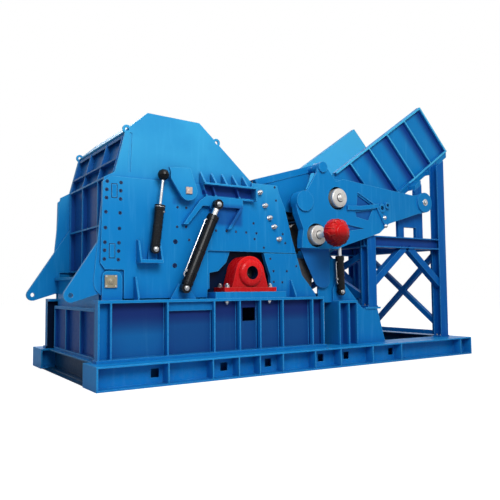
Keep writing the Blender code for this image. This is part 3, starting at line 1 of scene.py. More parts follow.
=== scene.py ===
"""Finishes, fasteners, pipes and studio light for the scrap shredder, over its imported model.

Metres, +Z up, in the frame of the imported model: -Y is the side with the bearing in front and +X runs towards
the feed chute. The two sides of the machine mirror each other, so a place is written as (x, distance from the
middle, z) and a side is -1 in front or 1 at the rear.
"""
from __future__ import annotations

import logging
import math
from collections.abc import Callable, Iterable, Sequence
from dataclasses import dataclass, field, replace
from enum import Enum

import bmesh
import bpy
from mathutils import Matrix, Vector


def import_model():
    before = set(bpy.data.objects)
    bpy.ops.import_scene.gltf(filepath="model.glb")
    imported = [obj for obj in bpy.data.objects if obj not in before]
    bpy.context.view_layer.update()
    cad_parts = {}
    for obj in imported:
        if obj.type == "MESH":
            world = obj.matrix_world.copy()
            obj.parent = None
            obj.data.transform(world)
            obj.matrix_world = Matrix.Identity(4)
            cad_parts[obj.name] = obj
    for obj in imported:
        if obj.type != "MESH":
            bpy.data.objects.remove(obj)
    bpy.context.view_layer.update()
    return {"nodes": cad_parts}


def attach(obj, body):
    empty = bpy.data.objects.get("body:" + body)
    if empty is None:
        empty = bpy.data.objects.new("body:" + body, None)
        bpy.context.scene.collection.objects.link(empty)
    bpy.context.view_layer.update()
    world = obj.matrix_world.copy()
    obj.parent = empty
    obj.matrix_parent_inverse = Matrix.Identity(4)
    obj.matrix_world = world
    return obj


LOG = logging.getLogger("shredder")
Colour = tuple[float, float, float, float]
Flat = tuple[float, float]
Place = tuple[float, float, float]
Nodes = dict[str, bpy.types.Object]

FAR = 9.0  # a zone that reaches this far has no border there
RAYS = 4  # rays per point of the edge and corner masks
TURNED: Flat = (0.01, 0.22)  # how far the surface turns where an edge starts to show and shows fully
# Painted shade: the corner mask darkens the paint in closed corners.
CLOSED: Flat = (0.85, 0.25)  # openness where a corner starts to darken and is fully dark
SUNK = 0.004  # how deep the hidden end of a fitting goes into its plate
UP: Place = (0.0, 0.0, 1.0)
DOWN: Place = (0.0, 0.0, -1.0)


class Slot(Enum):
    """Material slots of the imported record."""

    BLUE = "blue_paint"
    RED = "red_paint"
    BLACK = "black_gloss"
    BRONZE = "bronze"
    STEEL = "steel"
    DARK = "dark_steel"


class Side(Enum):
    """The two sides of the machine."""

    FRONT = -1
    REAR = 1

    @property
    def label(self) -> str:
        """Ending of the names on this side."""
        return self.name.lower()


# Shader arithmetic


class Signal:
    """A node's output that takes part in arithmetic; each operation adds a Math node."""

    def __init__(self, graph: Graph, socket: bpy.types.NodeSocket) -> None:
        """Keep the graph and the socket.

        Args:
            graph: The graph that the node is in.
            socket: The node's output.
        """
        self.graph = graph
        self.socket = socket

    def _maths(self, operation: str, *terms: Signal | float) -> Signal:
        """One Math node over the terms."""
        return self.graph.add("ShaderNodeMath", {"operation": operation}, dict(enumerate(terms)))

    def __add__(self, other: Signal | float) -> Signal:
        """Sum."""
        return self._maths("ADD", self, other)

    __radd__ = __add__

    def __sub__(self, other: Signal | float) -> Signal:
        """Difference."""
        return self._maths("SUBTRACT", self, other)

    def __rsub__(self, other: Signal | float) -> Signal:
        """Difference from a number."""
        return self._maths("SUBTRACT", other, self)

    def __mul__(self, other: Signal | float) -> Signal:
        """Product."""
        return self._maths("MULTIPLY", self, other)

    __rmul__ = __mul__

    def __abs__(self) -> Signal:
        """Size without sign."""
        return self._maths("ABSOLUTE", self)

    def most(self, other: Signal | float) -> Signal:
        """The larger of two values."""
        return self._maths("MAXIMUM", self, other)

    def remainder(self) -> Signal:
        """Part after the decimal point."""
        return self._maths("FRACT", self)

    def rise(self, low: float, high: float) -> Signal:
        """Smooth step from 0 at low to 1 at high.

        Args:
            low: Value that gives 0.
            high: Value that gives 1; it may be the smaller one.

        Returns:
            The stepped value.
        """
        limits = {0: self, 1: low, 2: high, 3: 0.0, 4: 1.0}
        return self.graph.add("ShaderNodeMapRange", {"interpolation_type": "SMOOTHSTEP"}, limits)


class Graph:
    """Node tree of a material or of the world."""

    def __init__(self, owner: bpy.types.Material | bpy.types.World) -> None:
        """Switch on the owner's nodes.

        Args:
            owner: The material or world.
        """
        owner.use_nodes = True
        self.owner = owner
        self.tree = owner.node_tree
        self.shader = self.tree.nodes.get("Principled BSDF")

    def add(
        self,
        kind: str,
        settings: dict[str, object] | None = None,
        inputs: dict[int | str, object] | None = None,
        output: int | str = 0,
    ) -> Signal:
        """Add one node.

        Args:
            kind: The node's type.
            settings: Its settings, set before its sockets.
            inputs: Values or signals by socket.
            output: The socket that is returned.

        Returns:
            The chosen output.
        """
        node = self.tree.nodes.new(kind)
        for name, value in (settings or {}).items():
            setattr(node, name, value)
        for key, value in (inputs or {}).items():
            self.feed(node.inputs[key], value)
        return Signal(self, node.outputs[output])

    def feed(self, socket: bpy.types.NodeSocket, value: object) -> None:
        """Link a signal to a socket, or set the socket's own value.

        Args:
            socket: The input.
            value: A signal, number, colour or vector.
        """
        if isinstance(value, Signal):
            self.tree.links.new(value.socket, socket)
        else:
            socket.default_value = value

    def mix(self, mask: Signal | float, low: Signal | Colour, high: Signal | Colour) -> Signal:
        """Blend two colours.

        Args:
            mask: 0 for the first colour, 1 for the second.
            low: First colour.
            high: Second colour.

        Returns:
            The blended colour.
        """
        return self.add("ShaderNodeMix", {"data_type": "RGBA"}, {0: mask, 6: low, 7: high}, 2)

    def place(self) -> Signal:
        """Position in the machine's frame at rest."""
        return self.add("ShaderNodeTexCoord", output="Object")

    def axes(self, place: Signal) -> tuple[Signal, Signal, Signal]:
        """X, Y and Z of a position."""
        first = self.add("ShaderNodeSeparateXYZ", inputs={0: place})
        return tuple(Signal(self, first.socket.node.outputs[i]) for i in range(3))

    def noise(self, place: Signal, scale: float, detail: float, stretch: Place | None = None) -> Signal:
        """Cloudy value from 0 to 1.

        Args:
            place: Position.
            scale: Clouds per metre.
            detail: Number of finer layers.
            stretch: Extra scale along each axis, if any.

        Returns:
            The value.
        """
        spot = place
        if stretch:
            spot = self.add("ShaderNodeVectorMath", {"operation": "MULTIPLY"}, {0: place, 1: stretch})
        return self.add("ShaderNodeTexNoise", inputs={"Vector": spot, "Scale": scale, "Detail": detail})

    def edges(self, radius: float) -> Signal:
        """Mask that is 1 on outer edges and inner corners and 0 on flat steel.

        Args:
            radius: How far the mask reaches from the edge.

        Returns:
            The mask.
        """
        soft = self.add("ShaderNodeBevel", {"samples": RAYS}, {"Radius": radius})
        flat = self.add("ShaderNodeNewGeometry", output="True Normal")
        alike = self.add("ShaderNodeVectorMath", {"operation": "DOT_PRODUCT"}, {0: soft, 1: flat}, "Value")
        return (1.0 - alike).rise(*TURNED)

    def crease(self, reach: float) -> Signal:
        """Painted shade mask: 1 in deep inner corners and 0 on open steel.

        Args:
            reach: How far the corner's other side may be.

        Returns:
            The mask.
        """
        openness = self.add("ShaderNodeAmbientOcclusion", {"samples": RAYS}, {"Distance": reach}, "AO")
        return openness.rise(*CLOSED)

    def relief(self, height: Signal, strength: float, distance: float, radius: float) -> None:
        """Raise the surface by a height and round its edges.

        Args:
            height: Height from 0 to 1.
            strength: Strength of the bump.
            distance: Metres for a height of 1.
            radius: Radius of the rounded edges.
        """
        inputs = {"Strength": strength, "Distance": distance, "Height": height}
        inputs["Normal"] = self.add("ShaderNodeBevel", {"samples": RAYS}, {"Radius": radius})
        self.feed(self.shader.inputs["Normal"], self.add("ShaderNodeBump", {}, inputs))

    def set(self, **values: object) -> None:
        """Set or link the shader's sockets; an underscore stands for a space."""
        for name, value in values.items():
            self.feed(self.shader.inputs[name.replace("_", " ")], value)


@dataclass(frozen=True)
class Zone:
    """A box-shaped region of the machine with soft borders, mirrored to both sides.

    Attributes:
        x: Limits along X, or None for the whole length; y, from the middle outwards, and z likewise.
        soft: Width of the borders.
        depth: Strength inside the zone.
        fade: Width of the lower border along Z, where that is the softer one.
    """

    x: Flat | None = None
    y: Flat | None = None
    z: Flat | None = None
    soft: float = 0.05
    depth: float = 1.0
    fade: float = 0.0

    def mask(self, axes: Sequence[Signal]) -> Signal:
        """Mask that is the zone's depth inside it and 0 outside.

        Args:
            axes: X, distance from the middle, and Z.

        Returns:
            The mask.
        """
        made: Signal | float = self.depth
        for value, limits, fade in zip(axes, (self.x, self.y, self.z), (0.0, 0.0, self.fade)):
            if limits is None:
                continue
            low, high = limits
            if low > -FAR:
                made = made * value.rise(low - max(self.soft, fade), low)
            if high < FAR:
                made = made * value.rise(high + self.soft, high)
        return made


@dataclass(frozen=True)
class Bays:
    """Shade that gathers below each slanting rib outside the chute.

    Attributes:
        peak: Upper end of the chute's mouth, as (x, z).
        lip: Lower end of its mouth.
        slope: Height gained per metre along the chute.
        pitch: Distance from rib to rib.
        spread: Share of a bay where the shade ends, and where it is full.
        plate: Distances from the middle between which the outside of the plate starts.
        rim: Distances between which the ribs' outer edges end it.
        depth: Strength beside a rib.
    """

    peak: Flat = (3.996, 6.191)
    lip: Flat = (5.000, 5.173)
    slope: float = 0.688
    pitch: float = 0.6125
    spread: Flat = (0.46, 0.08)
    plate: Flat = (1.154, 1.169)
    rim: Flat = (1.260, 1.184)
    depth: float = 0.85

    def mask(self, axes: Sequence[Signal]) -> Signal:
        """Mask that is deepest beside each rib and fades across the bay below it.

        Args:
            axes: X, distance from the middle, and Z.

        Returns:
            The mask.
        """
        x, y, z = axes
        across, down = self.lip[0] - self.peak[0], self.lip[1] - self.peak[1]
        scale = 1.0 / ((self.slope * across - down) * self.pitch)
        start = (self.peak[1] * across - self.peak[0] * down) * scale
        bay = (x * (down * scale) - z * (across * scale) + start).remainder()
        outside = y.rise(*self.plate) * y.rise(*self.rim)
        return bay.rise(*self.spread) * outside * self.depth


def shade_mask(graph: Graph, place: Signal, zones: Iterable[Zone | Bays]) -> Signal | None:
    """Joint mask of several zones.

    Args:
        graph: The finish's graph.
        place: Position.
        zones: The zones.

    Returns:
        The largest of their masks, or None without zones.
    """
    x, y, z = graph.axes(place)
    axes = (x, abs(y), z)
    made = None
    for zone in zones:
        mask = zone.mask(axes)
        made = mask if made is None else made.most(mask)
    return made


# Finishes


BLUE: Colour = (0.006, 0.225, 0.580, 1.0)
# Painted light: paler blue towards the top of the machine.
BLUE_LIT_TOP: Colour = (0.042, 0.385, 0.720, 1.0)
# Painted light: pale blue for brightly lit places.
LIT_BLUE: Colour = (0.085, 0.580, 0.940, 1.0)
# Painted shade: near-black for the shade inside the machine.
INSIDE_SHADE_BLACK: Colour = (0.002, 0.010, 0.035, 1.0)
# Thinner coat on runs and rubbed edges; on the edges it is also a painted highlight.
BLUE_THIN_AND_HIGHLIGHT: Colour = (0.100, 0.500, 0.860, 1.0)
BLUE_DEEP: Colour = (0.004, 0.180, 0.510, 1.0)
RED: Colour = (0.720, 0.008, 0.012, 1.0)
# Thinner red on runs and rubbed edges; on the edges it is also a painted highlight.
RED_THIN_AND_HIGHLIGHT: Colour = (0.950, 0.160, 0.120, 1.0)
RED_DEEP: Colour = (0.500, 0.004, 0.008, 1.0)
# Painted light: a paler copy of the blue for the lit skid.
SKID_BLUE_LIT: Colour = (0.006, 0.270, 0.700, 1.0)
SKID_DEEP_LIT: Colour = (0.004, 0.220, 0.620, 1.0)
# Painted shade: a darker copy of the blue for the shaded tower.
TOWER_BLUE_SHADED: Colour = (0.001, 0.125, 0.460, 1.0)
TOWER_DEEP_SHADED: Colour = (0.001, 0.095, 0.380, 1.0)
# Painted light: a paler copy of the blue for the lit chute.
CHUTE_BLUE_LIT: Colour = (0.008, 0.255, 0.640, 1.0)
CELL_SHADE: Colour = (0.010, 0.017, 0.130, 1.0)
# Painted light and shade: the bearing's red is darker below its middle and paler above.
BEARING_RED_SHADED: Colour = (0.560, 0.007, 0.011, 1.0)
BEARING_RED_LIT: Colour = (0.920, 0.012, 0.014, 1.0)
DUST: Colour = (0.20, 0.30, 0.40, 1.0)
PRIMER: Colour = (0.10, 0.11, 0.12, 1.0)
SHEEN: Colour = (0.85, 0.85, 0.83, 1.0)
# Painted shade: near-black on metal inside the machine.
METAL_SHADE_BLACK: Colour = (0.004, 0.004, 0.005, 1.0)
JAPAN: Colour = (0.003, 0.004, 0.006, 1.0)
JAPAN_DUSTY: Colour = (0.009, 0.012, 0.015, 1.0)
# Paler black on the edges: rubbed paint and a painted highlight.
JAPAN_THIN_AND_HIGHLIGHT: Colour = (0.16, 0.17, 0.17, 1.0)
CHROME: Colour = (0.62, 0.63, 0.64, 1.0)


@dataclass(frozen=True)
class Enamel:
    """Sprayed gloss enamel on welded plate: soft waves, orange peel, thinly coated edges, a little dust,
    painted light and shade.

    Attributes:
        name: Name of the material.
        colour: Full coat.
        thin_coat_and_highlight: Thinner, paler coat on runs and edges; on the edges it is also a painted
            highlight.
        deep: Heavy coat, in the waves.
        roughness: Roughness of the clean coat.
        coat: Weight of the clear layer.
        gloss: Specular level.
        worn: How much the edges are paled, partly by wear and partly as a painted highlight.
        high: Paler colour towards the top of the machine, a painted light, if any.
        climb: Heights between which the painted light grows.
        zones: Places painted near-black for the shade inside the machine.
        hollows: Places in deep shade.
        lit_places: Places painted paler where light falls on them.
        shadow: Colour of the painted shade in tight inner corners.
        shade: Colour of the hollows.
        waves, runs, dusting, corners, chipped: Strength of the waves, the runs, the dust, the painted shade in
            corners and the chips.
    """

    name: str
    colour: Colour
    thin_coat_and_highlight: Colour
    deep: Colour
    roughness: float = 0.32
    coat: float = 0.02
    gloss: float = 0.07
    worn: float = 0.75
    high: Colour | None = None
    climb: Flat = (2.9, 4.3)
    zones: tuple[Zone, ...] = ()
    hollows: tuple[Zone | Bays, ...] = ()
    lit_places: tuple[Zone, ...] = ()
    shadow: Colour = (0.003, 0.062, 0.320, 1.0)
    shade: Colour = (0.011, 0.034, 0.245, 1.0)
    waves: float = 0.35
    runs: float = 0.14
    dusting: float = 0.08
    corners: float = 0.55
    chipped: float = 0.70

    def make(self) -> bpy.types.Material:
        """Build the material.

        Returns:
            The material.
        """
        graph = Graph(bpy.data.materials.new(self.name))
        place = graph.place()
        clouds = graph.noise(place, scale=0.9, detail=4.0)
        fine = graph.noise(place, scale=14.0, detail=4.0)
        crease = graph.crease(reach=0.35)
        edge = graph.edges(radius=0.022) * (1.0 - crease)
        base: Signal | Colour = self.colour
        # Painted light: paler colour towards the top of the machine.
        if self.high:
            base = graph.mix(graph.axes(place)[2].rise(*self.climb), base, self.high)
        tone = graph.mix(clouds.rise(0.30, 0.72) * self.waves, base, self.deep)
        streaks = graph.noise(place, scale=3.0, detail=3.0, stretch=(4.0, 4.0, 0.35))
        tone = graph.mix(streaks.rise(0.52, 0.80) * self.runs, tone, self.thin_coat_and_highlight)
        dust = graph.axes(place)[2].rise(0.6, 0.0) * fine.rise(0.35, 0.75) * self.dusting
        tone = graph.mix(dust, tone, DUST)
        # Painted shade: tight inner corners darkened towards the shadow colour.
        tone = graph.mix(crease * self.corners, tone, self.shadow)
        # Paler edges: partly a rubbed, thinner coat and partly a painted highlight where they catch the light.
        tone = graph.mix(edge * fine.rise(0.15, 0.50) * self.worn, tone, self.thin_coat_and_highlight)
        chips = edge * graph.noise(place, scale=55.0, detail=3.0).rise(0.60, 0.70)
        tone = graph.mix(chips * self.chipped, tone, PRIMER)
        # Painted light on lit places, painted shade in the hollows, and near-black painted shade inside the
        # machine.
        for zones, shadow in ((self.lit_places, LIT_BLUE), (self.hollows, self.shade), (self.zones, INSIDE_SHADE_BLACK)):
            shade = shade_mask(graph, place, zones)
            if shade is not None:
                tone = graph.mix(shade, tone, shadow)
        graph.set(
            Base_Color=tone,
            Roughness=self.roughness + fine.rise(0.3, 0.8) * 0.10 + chips * 0.25,
            Coat_Weight=self.coat,
            Coat_Roughness=0.12,
            Specular_IOR_Level=self.gloss,
        )
        peel = graph.noise(place, scale=160.0, detail=2.0) * 0.35
        warp = graph.noise(place, scale=1.6, detail=1.0) * 6.0
        graph.relief(peel + warp, strength=0.35, distance=0.0012, radius=0.010)
        return graph.owner


@dataclass(frozen=True)
class Metal:
    """Bare or plated metal with turning marks and stains.

    Attributes:
        name: Name of the material.
        colour: Clean metal.
        stain: Stained metal.
        roughness: Roughness of the clean metal.
        metallic: Metallic share.
        grain: Turning marks per metre.
        zones: Places painted near-black for shade.
        gloss: Specular level.
        stained, marked, bright: Strength of the stains, the marks and the bright edges.
    """

    name: str
    colour: Colour
    stain: Colour
    roughness: float = 0.30
    metallic: float = 0.9
    grain: float = 120.0
    zones: tuple[Zone, ...] = ()
    gloss: float = 0.5
    stained: float = 0.55
    marked: float = 0.25
    bright: float = 0.35

    def make(self) -> bpy.types.Material:
        """Build the material.

        Returns:
            The material.
        """
        graph = Graph(bpy.data.materials.new(self.name))
        place = graph.place()
        clouds = graph.noise(place, scale=9.0, detail=4.0)
        marks = graph.noise(place, scale=self.grain, detail=2.0, stretch=(1.0, 0.08, 1.0))
        edge = graph.edges(radius=0.006)
        tone = graph.mix(clouds.rise(0.45, 0.75) * self.stained, self.colour, self.stain)
        tone = graph.mix(marks * self.marked, tone, self.stain)
        tone = graph.mix(edge * self.bright, tone, SHEEN)
        # Near-black painted shade where the metal sits inside.
        shade = shade_mask(graph, place, self.zones)
        if shade is not None:
            tone = graph.mix(shade, tone, METAL_SHADE_BLACK)
        graph.set(
            Base_Color=tone,
            Roughness=self.roughness + clouds.rise(0.4, 0.8) * 0.18,
            Metallic=self.metallic,
            Specular_IOR_Level=self.gloss,
        )
        graph.relief(marks * 0.5 + clouds * 0.5, strength=0.25, distance=0.0008, radius=0.004)
        return graph.owner


@dataclass(frozen=True)
class GlossBlack:
    """Black cylinder paint with dust, and bare chrome where the rod runs.

    Attributes:
        name: Name of the material.
        head: Upper pin of the rod, if the piece is one.
        foot: Lower pin.
        reach: Distance from the upper pin where the chrome starts.
        dusting, worn: Strength of the dust and of the paler edges, partly rubbed paint and partly a painted
            highlight.
        polish: Share of the roughness that the chrome loses.
    """

    name: str
    head: Place | None = None
    foot: Place | None = None
    reach: float = 0.0
    dusting: float = 0.6
    worn: float = 0.5
    polish: float = 0.4

    def make(self) -> bpy.types.Material:
        """Build the material.

        Returns:
            The material.
        """
        graph = Graph(bpy.data.materials.new(self.name))
        place = graph.place()
        clouds = graph.noise(place, scale=6.0, detail=4.0)
        fine = graph.noise(place, scale=40.0, detail=3.0)
        edge = graph.edges(radius=0.008)
        tone = graph.mix(clouds.rise(0.4, 0.8) * self.dusting, JAPAN, JAPAN_DUSTY)
        # Paler edges: partly rubbed paint and partly a painted highlight.
        tone = graph.mix(edge * fine.rise(0.35, 0.65) * self.worn, tone, JAPAN_THIN_AND_HIGHLIGHT)
        rough = 0.22 + fine.rise(0.4, 0.8) * 0.16
        metal: Signal | float = 0.0
        if self.head and self.foot:
            way = (Vector(self.foot) - Vector(self.head)).normalized()
            x, y, z = graph.axes(place)
            run = (x - self.head[0]) * way.x + (z - self.head[2]) * way.z
            metal = run.rise(self.reach, self.reach + 0.006)
            tone = graph.mix(metal, tone, CHROME)
            rough = rough * (1.0 - metal * self.polish)
        graph.set(
            Base_Color=tone,
            Roughness=rough,
            Metallic=metal,
            Coat_Weight=0.08,
            Coat_Roughness=0.08,
            Specular_IOR_Level=0.14,
        )
        graph.relief(fine, strength=0.12, distance=0.0006, radius=0.006)
        return graph.owner


Finish = Enamel | Metal | GlossBlack


@dataclass
class Palette:
    """The finishes that several sub-assemblies share, each made once."""

    made: dict[str, bpy.types.Material] = field(default_factory=dict)

    def get(self, finish: Finish) -> bpy.types.Material:
        """Material of a finish, made on its first use.

        Args:
            finish: The finish.

        Returns:
            Its material.
        """
        if finish.name not in self.made:
            self.made[finish.name] = finish.make()
        return self.made[finish.name]


PALETTE = Palette()
STEEL = Metal("turned_steel", (0.62, 0.62, 0.60, 1.0), (0.36, 0.34, 0.31, 1.0))
ZINC = Metal("zinc_plate", (0.60, 0.61, 0.62, 1.0), (0.22, 0.23, 0.24, 1.0), 0.24, 0.95, 60.0)
BRONZE = Metal("machined_bronze", (0.36, 0.32, 0.22, 1.0), (0.12, 0.11, 0.08, 1.0), 0.38, 0.80, 40.0)
BLUSH = Metal("annealed_steel", (0.62, 0.47, 0.40, 1.0), (0.42, 0.30, 0.25, 1.0), 0.40, 0.45)
CAST = Metal("worn_cast_steel", (0.13, 0.13, 0.14, 1.0), (0.05, 0.035, 0.025, 1.0), 0.52, 0.8)
SOCKET = Metal("dark_socket", (0.004, 0.024, 0.090, 1.0), (0.002, 0.010, 0.040, 1.0), 0.60, 0.0, gloss=0.05)
RED_PAINT = Enamel(
    "red_enamel",
    colour=RED,
    thin_coat_and_highlight=RED_THIN_AND_HIGHLIGHT,
    deep=RED_DEEP,
    roughness=0.24,
    coat=0.06,
    gloss=0.12,
    worn=0.35,
    shadow=(0.16, 0.002, 0.004, 1.0),
)
# Painted shade on the motors' undersides, and a painted highlight on their edges.
MOTOR_RED = Enamel(
    "motor_red",
    colour=(0.640, 0.004, 0.006, 1.0),
    thin_coat_and_highlight=(1.00, 0.16, 0.12, 1.0),
    deep=(0.400, 0.002, 0.004, 1.0),
    roughness=0.16,
    coat=0.05,
    gloss=0.12,
    worn=0.6,
    hollows=tuple(Zone(y=(2.14, FAR), z=z, soft=0.18, depth=0.80) for z in ((-FAR, 2.60), (3.10, 3.42))),
    shadow=(0.06, 0.001, 0.002, 1.0),
    shade=(0.045, 0.003, 0.004, 1.0),
)


def blue(
    name: str,
    zones: tuple[Zone, ...] = (),
    hollows: tuple[Zone | Bays, ...] = (),
    lit_places: tuple[Zone, ...] = (),
    high: Colour | None = None,
) -> Enamel:
    """The machine's blue enamel, with its painted shade and painted light.

    Args:
        name: Name of the finish.
        zones: Places painted near-black for shade, such as the inside of the casing.
        hollows: Places in deep shade, such as the cells between ribs.
        lit_places: Places painted a paler blue where light falls on them.
        high: Paler colour towards the top of the machine, a painted light.

    Returns:
        The finish.
    """
    return Enamel(name, BLUE, BLUE_THIN_AND_HIGHLIGHT, BLUE_DEEP, high=high, zones=zones, hollows=hollows, lit_places=lit_places)


TRIM = blue("blue_trim")


# Steel shapes


def spokes(way: Vector, across: Vector, sides: int, phase: float = 0.0) -> list[Vector]:
    """Unit directions round a line.

    Args:
        way: Direction of the line.
        across: First direction, square to it.
        sides: Number of directions.
        phase: Turn of the first one in degrees.

    Returns:
        The directions.
    """
    other = way.cross(across)
    angles = [2.0 * math.pi * i / sides + math.radians(phase) for i in range(sides)]
    return [across * math.cos(angle) + other * math.sin(angle) for angle in angles]


class Forge:
    """Gathers closed steel shapes into one mesh."""

    def __init__(self) -> None:
        """Start empty."""
        self.mesh = bmesh.new()

    def skin(self, rings: Sequence[Sequence[Vector]]) -> None:
        """Close a body over rings of points that follow one another.

        Args:
            rings: Rings with the same number of points.
        """
        made = [[self.mesh.verts.new(point) for point in ring] for ring in rings]
        faces = [self.mesh.faces.new(made[0]), self.mesh.faces.new(list(reversed(made[-1])))]
        count = len(made[0])
        for near, far in zip(made, made[1:]):
            for i in range(count):
                j = (i + 1) % count
                faces.append(self.mesh.faces.new((near[j], near[i], far[i], far[j])))
        bmesh.ops.recalc_face_normals(self.mesh, faces=faces)

    def turn(
        self, start: Vector, way: Vector, profile: Sequence[Flat], sides: int = 24, phase: float = 0.0
    ) -> None:
        """Turn a body about a line.

        Args:
            start: Point on the line.
            way: Direction of the line.
            profile: (distance along the line, radius) steps.
            sides: Facets round the body.
            phase: Turn of the first facet in degrees.
        """
        way = Vector(way).normalized()
        square = abs(way.y) > 0.99
        rays = spokes(way, Vector((1.0, 0.0, 0.0)) if square else way.orthogonal().normalized(), sides, phase)
        self.skin([[Vector(start) + way * along + ray * radius for ray in rays] for along, radius in profile])

    def ring(self, start: Vector, way: Vector, section: Sequence[Flat], sides: int = 28) -> None:
        """Turn a closed section about a line into a ring with an open middle.

        Args:
            start: Point on the line.
            way: Direction of the line.
            section: (distance along the line, radius) corners of the section, in order.
            sides: Facets round the ring.
        """
        way = Vector(way).normalized()
        made = [
            [self.mesh.verts.new(Vector(start) + way * along + ray * radius) for along, radius in section]
            for ray in spokes(way, way.orthogonal().normalized(), sides)
        ]
        faces = []
        count = len(section)
        for near, far in zip(made, made[1:] + made[:1]):
            for i in range(count):
                j = (i + 1) % count
                faces.append(self.mesh.faces.new((near[i], near[j], far[j], far[i])))
        bmesh.ops.recalc_face_normals(self.mesh, faces=faces)

    def slab(self, outline: Sequence[Flat], near: float, far: float, chamfer: float = 0.0) -> None:
        """Push an outline in the XZ plane along Y, with its far edges broken.

        Args:
            outline: Corners as (x, z).
            near: Y of the hidden face.
            far: Y of the outer face.
            chamfer: Width of the broken edge.
        """
        points = [Vector((a, 0.0, b)) for a, b in outline]
        centre = sum(points, Vector()) / len(points)
        rings = [[p + Vector((0.0, near, 0.0)) for p in points]]
        if chamfer:
            step = math.copysign(chamfer, far - near)
            rings.append([p + Vector((0.0, far - step, 0.0)) for p in points])
            drawn = [p + (centre - p).normalized() * chamfer * 1.4 for p in points]
            rings.append([p + Vector((0.0, far, 0.0)) for p in drawn])
        else:
            rings.append([p + Vector((0.0, far, 0.0)) for p in points])
        self.skin(rings)

    def block(self, centre: Vector, size: Vector, chamfer: float = 0.004) -> None:
        """A block with broken edges on all sides.

        Args:
            centre: Its middle.
            size: Its lengths along X, Y and Z.
            chamfer: Width of the broken edges.
        """
        half = Vector(size) / 2
        rings = []
        for inset, level in ((chamfer, -1.0), (0.0, -1.0), (0.0, 1.0), (chamfer, 1.0)):
            z = level * (half.z - (chamfer - inset))
            a, b, c = half.x - inset, half.y - inset, chamfer
            ring = [
                (-a + c, -b), (a - c, -b), (a, -b + c), (a, b - c),
                (a - c, b), (-a + c, b), (-a, b - c), (-a, -b + c),
            ]
            rings.append([Vector(centre) + Vector((x, y, z)) for x, y in ring])
        self.skin(rings)

    def tube(self, path: Sequence[Vector], radius: float | Callable[[int], float], sides: int = 10) -> None:
        """A round bar along a path.

        Args:
            path: Points of its middle line.
            radius: Its radius, or the radius at each point.
            sides: Facets round it.
        """
        points = [Vector(p) for p in path]
        reach = radius if callable(radius) else (lambda _: radius)
        rings = []
        across = None
        for i, point in enumerate(points):
            way = (points[min(i + 1, len(points) - 1)] - points[max(i - 1, 0)]).normalized()
            if across is None:
                across = way.orthogonal().normalized()
            across = (across - way * across.dot(way)).normalized()
            rings.append([point + ray * reach(i) for ray in spokes(way, across, sides)])
        self.skin(rings)

    def weld(self, start: Vector, end: Vector, radius: float = 0.011, pitch: float = 0.022) -> None:
        """A rippled weld bead between two points.

        Args:
            start: Where the bead starts.
            end: Where it ends.
            radius: Radius of the bead.
            pitch: Length of a ripple.
        """
        start, end = Vector(start), Vector(end)
        waist = 0.78
        count = max(2, round((end - start).length / pitch)) * 2
        path = [start.lerp(end, i / count) for i in range(count + 1)]
        self.tube(path, lambda i: radius * (1.0 if i % 2 else waist), 6)

    def build(self, name: str, finish: Finish, body: str, slot: Slot) -> bpy.types.Object:
        """Make the object and let it ride on its body.

        Args:
            name: Name of the piece.
            finish: Its finish.
            body: The body that it moves with.
            slot: The record's material slot; not used.

        Returns:
            The object.
        """
        mesh = bpy.data.meshes.new(name)
        self.mesh.to_mesh(mesh)
        self.mesh.free()
        mesh.shade_smooth()
        mesh.set_sharp_from_angle(angle=math.radians(32.0))
        made = bpy.data.objects.new(name, mesh)
        bpy.context.scene.collection.objects.link(made)
        mesh.materials.append(PALETTE.get(finish))
        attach(made, body)
        LOG.info("%s: %d faces on %s", name, len(mesh.polygons), body)
        return made


@dataclass(frozen=True)
class Fastener:
    """A hexagon bolt or nut on its washer, with the thread end standing out.

    Attributes:
        flats: Radius of the hexagon.
        height: Height of the hexagon.
        washer: Radius of the washer.
        plate: Thickness of the washer.
        tip: How far the thread stands out of the hexagon.
        thread: Radius of the thread.
        bevel: Broken edge of washer and thread.
        crown: Share of the hexagon's size where its corners are turned off.
    """

    flats: float
    height: float
    washer: float
    plate: float
    tip: float = 0.0
    thread: float = 0.020
    bevel: float = 0.004
    crown: float = 0.86

    def add(self, forge: Forge, point: Place, way: Place) -> None:
        """Put one on a surface.

        Args:
            forge: The mesh that takes it.
            point: Where its axis meets the surface.
            way: Outward direction of the surface.
        """
        start, way = Vector(point), Vector(way)
        rim = [(0.0, self.washer), (self.plate, self.washer), (self.plate + 0.003, self.washer - self.bevel)]
        forge.turn(start - way * SUNK, way, rim, 20)
        foot = start + way * self.plate
        shoulder = self.height * self.crown
        head = [(0.0, self.flats), (shoulder, self.flats), (self.height, self.flats * self.crown)]
        forge.turn(foot, way, head, 6, 15.0)
        if self.tip:
            top, r = self.height + self.tip, self.thread
            forge.turn(foot, way, [(self.height * 0.5, r), (top - self.bevel, r), (top, r - self.bevel)], 14)


@dataclass(frozen=True)
class SocketScrew:
    """A flush socket screw: a low round rim with a dark sunk middle.

    Attributes:
        radius: Radius of the rim.
        proud: Height of the rim.
        bore: Radius of the middle, as a share of the rim's.
        floor: Height of the middle.
    """

    radius: float
    proud: float = 0.003
    bore: float = 0.62
    floor: float = 0.0012

    def add(self, forge: Forge, point: Place, way: Place) -> None:
        """Put one on a surface.

        Args:
            forge: The mesh that takes it.
            point: Where its axis meets the surface.
            way: Outward direction of the surface.
        """
        rim, hole = self.radius, self.radius * self.bore
        edge = [(-0.006, rim), (self.proud * 0.6, rim), (self.proud, rim - 0.003)]
        forge.turn(Vector(point), Vector(way), edge + [(self.proud, hole), (self.floor, hole * 0.9)], 16)


def outward(side: Side) -> Vector:
    """Outward direction on a side."""
    return Vector((0.0, float(side.value), 0.0))


def at(side: Side, x: float, reach: float, z: float) -> Vector:
    """Point at a distance from the machine's middle on one side."""
    return Vector((x, side.value * reach, z))


